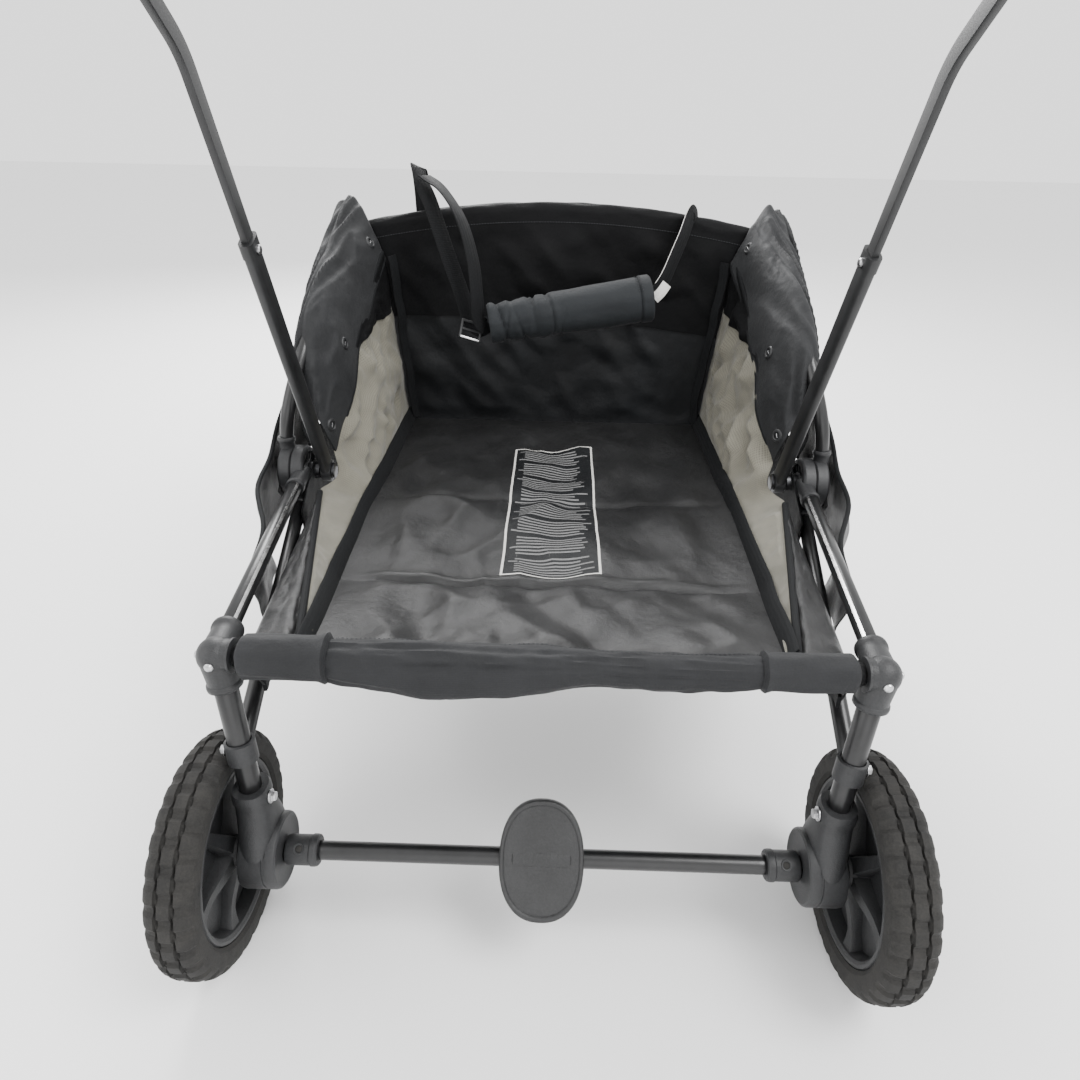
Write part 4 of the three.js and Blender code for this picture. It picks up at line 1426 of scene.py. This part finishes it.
def hub_disc(name, side, x0, x1, radius, body, node, outward):
    """A moulded disc with a stepped rim, a ring of ribs and a hollow face."""
    a = x0 if outward > 0 else x1
    depth = abs(x1 - x0)
    step = 1 if outward > 0 else -1
    profile = [
        (a, 0.007), (a, radius - 0.002), (a + step * 0.0015, radius), (a + step * (depth - 0.0035), radius),
        (
            a + step * (depth - 0.001), radius - 0.0018
        ), (a + step * depth, radius - 0.0040), (a + step * depth, radius - 0.0080),
        (
            a + step * (depth - 0.0035), radius - 0.0092
        ), (
            a + step * (depth - 0.0035), 0.0150
        ), (a + step * depth, 0.0138), (a + step * depth, 0.007), (a, 0.007),
    ]
    disc = turned(
        name, [(side * x, r) for x, r in profile], (0, FOLD.y, FOLD.z), PLASTIC, "X", 72
    )
    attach(disc, body)
    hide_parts(node)
    face = a + step * (depth - 0.0022)
    for k in range(12):
        turn = 2 * math.pi * (k + 0.5) / 12
        out = Vector((0, math.cos(turn), math.sin(turn)))
        rib = slab(
            f"{name}_rib_{k + 1}", (0.0016, 0.0026, 0.0105),
            along_axis(Vector((side * face, FOLD.y, FOLD.z)) + out * 0.0200, out, (1, 0, 0)), PLASTIC,
            0.0005, 2
        )
        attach(rib, body)


def fold_hubs():
    for name, side in SIDES:
        hub_disc(
            f"fold_hub_disc_inner_{name}", side, 0.334, 0.3516, 0.034, "rear_frame",
            f"fold_hub_inner_{name}", -1
        )
        hub_disc(
            f"fold_hub_disc_outer_{name}", side, 0.352, 0.3696, 0.034, "front_frame",
            f"fold_hub_outer_{name}", 1
        )
        at = Vector((0, FOLD.y, FOLD.z))
        spacer = turned(
            f"hub_spacer_{name}",
            [
                (side * x, r) for x,
                r in (
                    (0.3182, 0.006), (0.3182, 0.0098), (0.3192, 0.011), (0.3345, 0.011), (0.3345, 0.006),
                    (0.3182, 0.006)
                )
            ],
            at, DARK_STEEL, "X", 48
        )
        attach(spacer, "rear_frame")
        pin = turned(
            f"hub_pin_{name}",
            [
                (side * x, r) for x,
                r in (
                    (0.2990, 0.0), (0.2990, 0.0100), (0.3000, 0.0110), (0.3022, 0.0110), (0.3026, 0.0060),
                    (0.3720, 0.0060), (0.3726, 0.0052), (0.3726, 0.0)
                )
            ],
            at, DARK_STEEL, "X", 48
        )
        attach(pin, "rear_frame")
        rear_low, rear_high = axis_ends(f"rear_side_rail_{name}", RAIL_R, (side, 1, -1))
        socket(
            f"hub_rail_socket_{name}", Vector((side * 0.340, 0.086, FOLD.z + 0.002)),
            rear_high.lerp(rear_low, 0.075), 0.0114, "rear_frame"
        )
        brace_low, brace_high = axis_ends(f"rear_brace_{name}", RAIL_R, (side, 1, 1))
        socket(
            f"hub_brace_socket_{name}", Vector((side * 0.340, 0.090, 0.324)),
            brace_high.lerp(brace_low, 0.065), 0.0110, "rear_frame"
        )
        socket(
            f"hub_front_rail_socket_{name}", Vector((side * 0.364, 0.102, 0.352)),
            Vector((side * 0.3620, 0.1055, 0.388)), 0.0108, "front_frame"
        )
        front_low, front_high = axis_ends(f"front_brace_{name}", RAIL_R, (-side, 1, -1))
        socket(
            f"hub_front_brace_socket_{name}", Vector((side * 0.3655, 0.112, 0.333)),
            front_low.lerp(front_high, 0.045), 0.0103, "front_frame"
        )
        lever = slab(
            f"fold_latch_{name}", (0.0045, 0.017, 0.034),
            along_axis(Vector((side * 0.3696, FOLD.y - 0.016, FOLD.z - 0.014)), (0, -0.8, -0.6), (1, 0, 0)),
            FOAM, 0.0016
        )
        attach(lever, "front_frame")


def front_frame_tubes():
    arch = [
        Vector(
            (mix(-1, 1, i / 40) * TOP_RAIL_HALF, TOP_RAIL_Y, wall_top(mix(-1, 1, i / 40) * TOP_RAIL_HALF))
        )
        for i in range(41)
    ]
    top = tube("front_arch_tube", arch, FRAME_R - 0.001, TUBE_COAT)
    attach(top, "front_frame")
    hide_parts("front_top_rail")
    rod("front_cross_bar", "front_frame", RAIL_R, (1, 0, 0))
    for name, side in SIDES:
        rod(f"front_brace_{name}", "front_frame", RAIL_R, (-side, 1, -1))
        rod(f"front_post_{name}", "front_frame", FRAME_R - 0.001, (side, 1, 1))
        rail = tube(
            f"front_side_rail_tube_{name}", [side_x(side, p) for p in curve_points(FRONT_RAIL, 60)], RAIL_R,
            TUBE_COAT
        )
        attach(rail, "front_frame")
        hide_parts(f"front_side_rail_{name}")
        low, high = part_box(f"caster_housing_{name}")
        place = (centre(f"caster_housing_{name}").x, centre(f"caster_housing_{name}").y, 0)
        r = (high.x - low.x) / 2
        profile = [
            (low.z, 0.009), (low.z, r - 0.002), (low.z + 0.002, r), (low.z + 0.008, r),
            (low.z + 0.010, r - 0.0018), (low.z + 0.040, r - 0.0026), (low.z + 0.042, r - 0.0006),
            (low.z + 0.050, r - 0.0006), (high.z - 0.002, r - 0.0030), (high.z, r - 0.0055),
            (high.z, 0.009), (low.z, 0.009)
        ]
        housing = turned(f"caster_housing_body_{name}", profile, place, PLASTIC, "Z", 64)
        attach(housing, "front_frame")
        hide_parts(f"caster_housing_{name}")
        bolt(
            f"caster_housing_bolt_{name}", Vector((place[0], place[1] + r - 0.002, low.z + 0.028)),
            (0, 1, 0), "front_frame", 0.0045
        )
        bracket = slab(
            f"front_brace_bracket_{name}", (0.026, 0.028, 0.024),
            Matrix.Translation((side * 0.3025, 0.4105, 0.275)), PLASTIC, 0.004
        )
        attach(bracket, "front_frame")


# ---- Handle --------------------------------------------------------------------------------------

LEAN = math.radians(23.3)
HANDLE_UP = Vector((0, -math.sin(LEAN), math.cos(LEAN)))
HANDLE_ACROSS = Vector((0, math.cos(LEAN), math.sin(LEAN)))


def handle():
    for name, side in SIDES:
        root = Vector((centre(f"handle_arm_{name}").x, FOLD.y, FOLD.z))
        rings = []
        stations = ((0.0, 0.86), (0.0012, 1.0), (0.330, 1.0), (0.3302, 1.10), (0.3485, 1.10), (0.350, 0.98))
        for reach, scale in [(0.004 + s, k) for s, k in stations]:
            ring = []
            for k in range(36):
                turn = 2 * math.pi * k / 36
                c = math.copysign(abs(math.cos(turn)) ** 0.55, math.cos(turn))
                s = math.copysign(abs(math.sin(turn)) ** 0.55, math.sin(turn))
                ring.append(
                    root + HANDLE_UP * min(reach, 0.350) + HANDLE_ACROSS * c * 0.0128 * scale
                    + Vector((s * 0.0068 * scale, 0, 0))
                )
            rings.append(ring)
        sleeve = skin(f"handle_arm_sleeve_{name}", rings, ARM_COAT, angle=35)
        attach(sleeve, "handle_lower")
        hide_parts(f"handle_arm_{name}")
        lug = turned(
            f"handle_arm_lug_{name}",
            [
                (root.x - FOLD.x + x, r) for x,
                r in (
                    (-0.0070, 0.0062), (-0.0070, 0.0135), (-0.0058, 0.0150), (0.0058, 0.0150),
                    (0.0070, 0.0135), (0.0070, 0.0062), (-0.0070, 0.0062)
                )
            ],
            (0, FOLD.y, FOLD.z), ARM_COAT, "X", 48
        )
        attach(lug, "handle_lower")
        button = turned(
            f"handle_button_{name}",
            [(0.0, 0.0), (0.0, 0.0048), (0.0022, 0.0048), (0.0034, 0.0036), (0.0038, 0.0)], (0, 0, 0),
            STEEL, "Z", 32
        )
        button.data.transform(
            along_axis(root + HANDLE_UP * 0.3385 - Vector((side * 0.0070, 0, 0)), (-side, 0, 0))
        )
        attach(button, "handle_lower")
        path = [root + HANDLE_UP * reach for reach in (0.176, 0.30, 0.42, 0.499)]
        for i in range(1, 13):
            turn = math.radians(27) * i / 12
            y = -0.080 + 0.080 * math.cos(turn)
            z = 0.500 + 0.080 * math.sin(turn)
            path.append(root + HANDLE_ACROSS * y + HANDLE_UP * z)
        turn = math.radians(27)
        for reach in (0.08, 0.16, 0.229):
            y = -0.080 + 0.080 * math.cos(turn) - reach * math.sin(turn)
            z = 0.500 + 0.080 * math.sin(turn) + reach * math.cos(turn)
            path.append(root + HANDLE_ACROSS * y + HANDLE_UP * z)
        flat = band(f"handle_bar_{name}", path, 0.0172, 0.0074, ARM_COAT, (1, 0, 0), 0.8)
        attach(flat, "handle_upper")
        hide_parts(f"handle_tube_{name}")
    grip = centre("handle_grip")
    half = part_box("handle_grip")[1].x
    path = [grip + Vector((mix(-half, half, i / 80), 0, 0)) for i in range(81)]
    foam = tube(
        "handle_grip_foam", path,
        lambda share: 0.0148 - 0.0010 * (1 if abs(abs(share * 2 - 1) - 0.93) < 0.012 else 0), FOAM,
        40, 0.002
    )
    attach(foam, "handle_upper")
    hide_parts("handle_grip")
    for name, side in SIDES:
        end = turned(
            f"grip_end_{name}",
            [
                (side * (half + x), r) for x,
                r in (
                    (-0.016, 0.0154), (-0.015, 0.0165), (0.0, 0.0165), (0.0045, 0.0158), (0.0088, 0.0130),
                    (0.0098, 0.0080), (0.0100, 0.0)
                )
            ],
            (0, grip.y, grip.z), PLASTIC, "X", 48
        )
        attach(end, "handle_upper")


# ---- Brake ---------------------------------------------------------------------------------------

def brake():
    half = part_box("brake_bar")[1].x
    bar = tube(
        "brake_bar_tube", [BRAKE + Vector((mix(-half, half, i / 24), 0, 0)) for i in range(25)], 0.0095,
        TUBE_COAT, 48
    )
    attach(bar, "brake")
    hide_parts("brake_bar")
    for name, side in SIDES:
        low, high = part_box(f"brake_collar_{name}")
        x0 = min(abs(low.x), abs(high.x))
        x1 = max(abs(low.x), abs(high.x))
        profile = [
            (x0, 0.0096), (x0, 0.0140), (x0 + 0.0012, 0.0154), (x0 + 0.0040, 0.0160), (x0 + 0.0075, 0.0160),
            (x0 + 0.0085, 0.0152), (x1 - 0.0030, 0.0152), (x1 - 0.0008, 0.0145), (x1, 0.0130), (x1, 0.0096),
            (x0, 0.0096)
        ]
        collar = turned(
            f"brake_collar_body_{name}", [(side * x, r) for x, r in profile], (0, BRAKE.y, BRAKE.z),
            PLASTIC, "X", 64
        )
        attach(collar, "brake")
        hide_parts(f"brake_collar_{name}")
        out = Vector((0, -14, 20)).normalized()
        spot = Vector((side * 0.246, BRAKE.y, BRAKE.z)) + out * 0.0146
        ring = turned(
            f"brake_button_ring_{name}",
            [(0.0, 0.0036), (0.0012, 0.0038), (0.0014, 0.0050), (0.0, 0.0056), (0.0, 0.0036)], (0, 0, 0),
            PLASTIC, "Z", 32
        )
        ring.data.transform(along_axis(spot, out, (1, 0, 0)))
        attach(ring, "brake")
        well = turned(
            f"brake_button_{name}",
            [(0.0, 0.0), (0.0004, 0.0035), (0.0008, 0.0033), (0.0014, 0.0020), (0.0016, 0.0)], (0, 0, 0),
            RUBBER, "Z", 24
        )
        well.data.transform(along_axis(spot, out, (1, 0, 0)))
        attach(well, "brake")
    pedal()


def pedal():
    tilt = math.radians(48)
    normal = Vector((0, -math.sin(tilt), math.cos(tilt)))
    along = Vector((0, math.cos(tilt), math.sin(tilt)))
    low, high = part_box("brake_pedal")
    half_w = (high.x - low.x) / 2
    half_l = 0.059

    def ring(scale, height, inset=0.0, count=96):
        out = []
        for k in range(count):
            turn = 2 * math.pi * k / count
            c = math.copysign(abs(math.cos(turn)) ** 0.86, math.cos(turn))
            s = math.copysign(abs(math.sin(turn)) ** 0.86, math.sin(turn))
            x = c * (half_w * scale - inset)
            y = s * (half_l * scale - inset)
            sink = 0.0012 * (1 - (x / half_w) ** 2 - (y / half_l) ** 2)
            ripple = 0.0
            if scale < 0.86:
                ripple = 0.0004 * math.sin(y * 1400)
            out.append(
                BRAKE + Vector((x, 0, 0)) + along * y
                + normal * (height - sink * (1 if height > 0.012 else 0) + ripple)
            )
        return out
    rings = [
        ring(0.02, 0.0044), ring(0.60, 0.0044), ring(0.965, 0.0044), ring(1.0, 0.0064), ring(1.0, 0.0118),
        ring(0.988, 0.0142), ring(0.968, 0.0156), ring(0.935, 0.0160), ring(0.905, 0.0154),
        ring(0.885, 0.0142)
    ]
    rings += [ring(0.88 * (1 - i / 30) + 0.01, 0.0140) for i in range(31)]
    plate = skin("brake_pedal_plate", rings, PEDAL_PLASTIC, angle=50)
    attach(plate, "brake")
    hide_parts("brake_pedal")
    cradle = turned(
        "brake_pedal_cradle",
        [
            (-0.030, 0.0098), (-0.030, 0.0135), (-0.0288, 0.0145), (0.0288, 0.0145), (0.030, 0.0135),
            (0.030, 0.0098), (-0.030, 0.0098)
        ],
        (0, BRAKE.y, BRAKE.z), PEDAL_PLASTIC, "X", 56
    )
    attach(cradle, "brake")
    for k, x in enumerate((-0.016, 0.016)):
        web = slab(
            f"brake_pedal_web_{k + 1}", (0.070, 0.004, 0.008),
            along_axis(BRAKE + Vector((x, 0, 0)) + normal * 0.0030, normal, along), PEDAL_PLASTIC,
            0.001
        )
        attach(web, "brake")


# ---- Wheels --------------------------------------------------------------------------------------

def wheel(kind, name, body, side):
    """A treaded tyre on a spoked, moulded rim."""
    low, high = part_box(f"{kind}_tyre_{name}")
    middle = (low + high) / 2
    r = (high.z - low.z) / 2
    half = (high.x - low.x) / 2
    seat = r * 0.76
    section = [
        (-half + 0.004, seat), (
            -half + 0.0012, seat + 0.004
        ), (-half, r - 0.0125), (-half + 0.0010, r - 0.0085),
        (
            -half + 0.0045, r - 0.0042
        ), (-half + 0.0080, r - 0.0020), (-half * 0.40, r - 0.0005), (-half * 0.36, r - 0.0030),
        (
            -half * 0.28, r - 0.0030
        ), (-half * 0.24, r - 0.0002), (0.0, r), (half * 0.24, r - 0.0002), (half * 0.28, r - 0.0030),
        (half * 0.36, r - 0.0030), (half * 0.40, r - 0.0005), (
            half - 0.0080, r - 0.0020
        ), (half - 0.0045, r - 0.0042),
        (half - 0.0010, r - 0.0085), (half, r - 0.0125), (
            half - 0.0012, seat + 0.004
        ), (half - 0.004, seat), (-half + 0.004, seat),
    ]
    count = 192

    def tread(distance, radius, turn):
        if radius < r - 0.009:
            return radius
        block = round(turn / (2 * math.pi) * count) % 6
        shift = 3 if abs(distance) > half * 0.33 else 0
        return radius - (0.0028 if (block + shift) % 6 in (0, 1) else 0.0)
    tyre = turned(f"{kind}_tyre_rubber_{name}", section, middle, RUBBER, "X", count, 24, tread)
    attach(tyre, body)
    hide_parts(f"{kind}_tyre_{name}")
    bore = 0.0064 if kind == "rear" else 0.0044
    edge = seat - 0.0003
    ring_part = [
        (-half + 0.0055, edge), (
            -half + 0.0035, edge - 0.0015
        ), (-half + 0.0035, edge - 0.0045), (-half + 0.0060, edge - 0.0075), (-0.0060, edge - 0.0105),
        (0.0060, edge - 0.0105), (
            half - 0.0060, edge - 0.0075
        ), (
            half - 0.0035, edge - 0.0045
        ), (half - 0.0035, edge - 0.0015), (half - 0.0055, edge), (-half + 0.0055, edge),
    ]
    barrel = turned(f"{kind}_rim_barrel_{name}", ring_part, middle, PLASTIC, "X", 96)
    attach(barrel, body)
    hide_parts(f"{kind}_rim_{name}")
    hub_r = 0.0200 if kind == "rear" else 0.0165
    hub = turned(
        f"{kind}_rim_hub_{name}",
        [
            (-half, bore), (-half, hub_r - 0.004), (-half + 0.0015, hub_r - 0.002), (-0.009, hub_r),
            (0.009, hub_r), (half - 0.0015, hub_r - 0.002), (half, hub_r - 0.004), (half, bore),
            (-half, bore)
        ],
        middle, PLASTIC, "X", 56
    )
    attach(hub, body)
    web = turned(
        f"{kind}_rim_web_{name}",
        [
            (-0.0022, hub_r - 0.003), (-0.0022, edge - 0.009), (0.0022, edge - 0.009),
            (0.0022, hub_r - 0.003), (-0.0022, hub_r - 0.003)
        ],
        middle, PLASTIC, "X", 72
    )
    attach(web, body)
    spokes = 6
    for k in range(spokes):
        turn = 2 * math.pi * k / spokes
        out = Vector((0, math.cos(turn), math.sin(turn)))
        aside = Vector((0, -math.sin(turn), math.cos(turn)))
        rings = []
        for i in range(9):
            share = i / 8
            reach = mix(hub_r - 0.003, edge - 0.0085, share)
            wide = mix(
                0.0095, 0.0062, math.sin(math.pi * min(1, share * 1.2) / 2)
            ) + 0.004 * ease(share, 0.75, 1.0)
            deep = mix(half * 0.80, half * 0.52, ease(share, 0, 0.7)) + 0.003 * ease(share, 0.8, 1.0)
            corners = (
                (-1, -0.7), (-0.8, -1), (0.8, -1), (1, -0.7), (1, 0.7), (0.8, 1), (-0.8, 1), (-1, 0.7)
            )
            rings.append(
                [middle + out * reach + aside * wide * u + Vector((deep * v, 0, 0)) for u, v in corners]
            )
        spoke = skin(f"{kind}_spoke_{name}_{k + 1}", rings, PLASTIC, angle=45)
        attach(spoke, body)
    if kind == "rear":
        cap = turned(
            f"rear_wheel_cap_{name}",
            [
                (side * x, rr) for x,
                rr in (
                    (half + 0.0002, 0.0175), (half + 0.0022, 0.0172), (half + 0.0040, 0.0150),
                    (half + 0.0048, 0.0100), (half + 0.0050, 0.0)
                )
            ],
            middle, PLASTIC, "X", 56
        )
        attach(cap, body)


def casters():
    for name, _ in SIDES:
        body = f"caster_{name}"
        place = centre(f"caster_housing_{name}")
        axle_y = centre(f"caster_tyre_{name}").y
        axle_z = centre(f"caster_tyre_{name}").z
        stem = turned(
            f"caster_stem_{name}",
            [(0.196, 0.0), (0.196, 0.0078), (0.2315, 0.0078), (0.2328, 0.0066), (0.2328, 0.0)],
            (place.x, place.y, 0), STEEL, "Z", 40
        )
        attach(stem, body)
        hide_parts(f"caster_fork_{name}")
        crown = turned(
            f"caster_crown_{name}",
            [
                (0.1880, 0.0), (0.1880, 0.0170), (0.1895, 0.0190), (0.1960, 0.0195), (0.2000, 0.0170),
                (0.2008, 0.0120), (0.2008, 0.0)
            ],
            (place.x, place.y, 0), PLASTIC, "Z", 56
        )
        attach(crown, body)
        bridge = slab(
            f"caster_bridge_{name}", (0.058, 0.030, 0.009),
            Matrix.Translation((place.x, place.y - 0.002, 0.1935)), PLASTIC, 0.003
        )
        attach(bridge, body)
        for k, x in enumerate((-0.0255, 0.0255)):
            rings = []
            for i in range(15):
                share = i / 14
                middle = Vector(
                    (place.x + x, mix(place.y, axle_y, share ** 1.3), mix(0.196, axle_z, share))
                )
                wide = mix(0.0135, 0.0110, math.sin(math.pi * share)) + 0.0015 * share
                ring = []
                for j in range(20):
                    turn = 2 * math.pi * j / 20
                    c = math.copysign(abs(math.cos(turn)) ** 0.6, math.cos(turn))
                    s = math.copysign(abs(math.sin(turn)) ** 0.6, math.sin(turn))
                    ring.append(middle + Vector((s * 0.0033, c * wide, 0)))
                rings.append(ring)
            leg = skin(f"caster_leg_{name}_{k + 1}", rings, PLASTIC, angle=45)
            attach(leg, body)
            out = 1 if x > 0 else -1
            foot = turned(
                f"caster_foot_{name}_{k + 1}",
                [
                    (out * a, rr) for a,
                    rr in (
                        (0.0218, 0.0), (0.0218, 0.0118), (0.0228, 0.0130), (0.0280, 0.0130),
                        (0.0292, 0.0118), (0.0292, 0.0)
                    )
                ],
                (place.x, axle_y, axle_z), PLASTIC, "X", 48
            )
            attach(foot, body)
            head = turned(
                f"caster_axle_head_{name}_{k + 1}",
                [
                    (out * a, rr) for a,
                    rr in (
                        (0.0290, 0.0), (0.0290, 0.0062), (0.0300, 0.0066), (0.0322, 0.0060),
                        (0.0330, 0.0040), (0.0330, 0.0)
                    )
                ],
                (place.x, axle_y, axle_z), STEEL, "X", 6 if out > 0 else 32
            )
            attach(head, body)
        axle = turned(
            f"caster_axle_{name}", [(-0.0285, 0.0), (-0.0285, 0.0040), (0.0285, 0.0040), (0.0285, 0.0)],
            (place.x, axle_y, axle_z), STEEL, "X", 32
        )
        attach(axle, body)


# ---- Everything ----------------------------------------------------------------------------------

camera_and_lights()
tub_floor()
net_sides()
rear_skirts()
outer_panels()
hub_gussets()
front_wall()
rail_sleeves()
rail_cover()
grab_strap()
label_panel()
rear_frame_tubes()
fold_hubs()
front_frame_tubes()
handle()
brake()
for side_name, side_sign in SIDES:
    wheel("rear", side_name, f"rear_wheel_{side_name}", side_sign)
    wheel("caster", side_name, f"caster_wheel_{side_name}", side_sign)
casters()
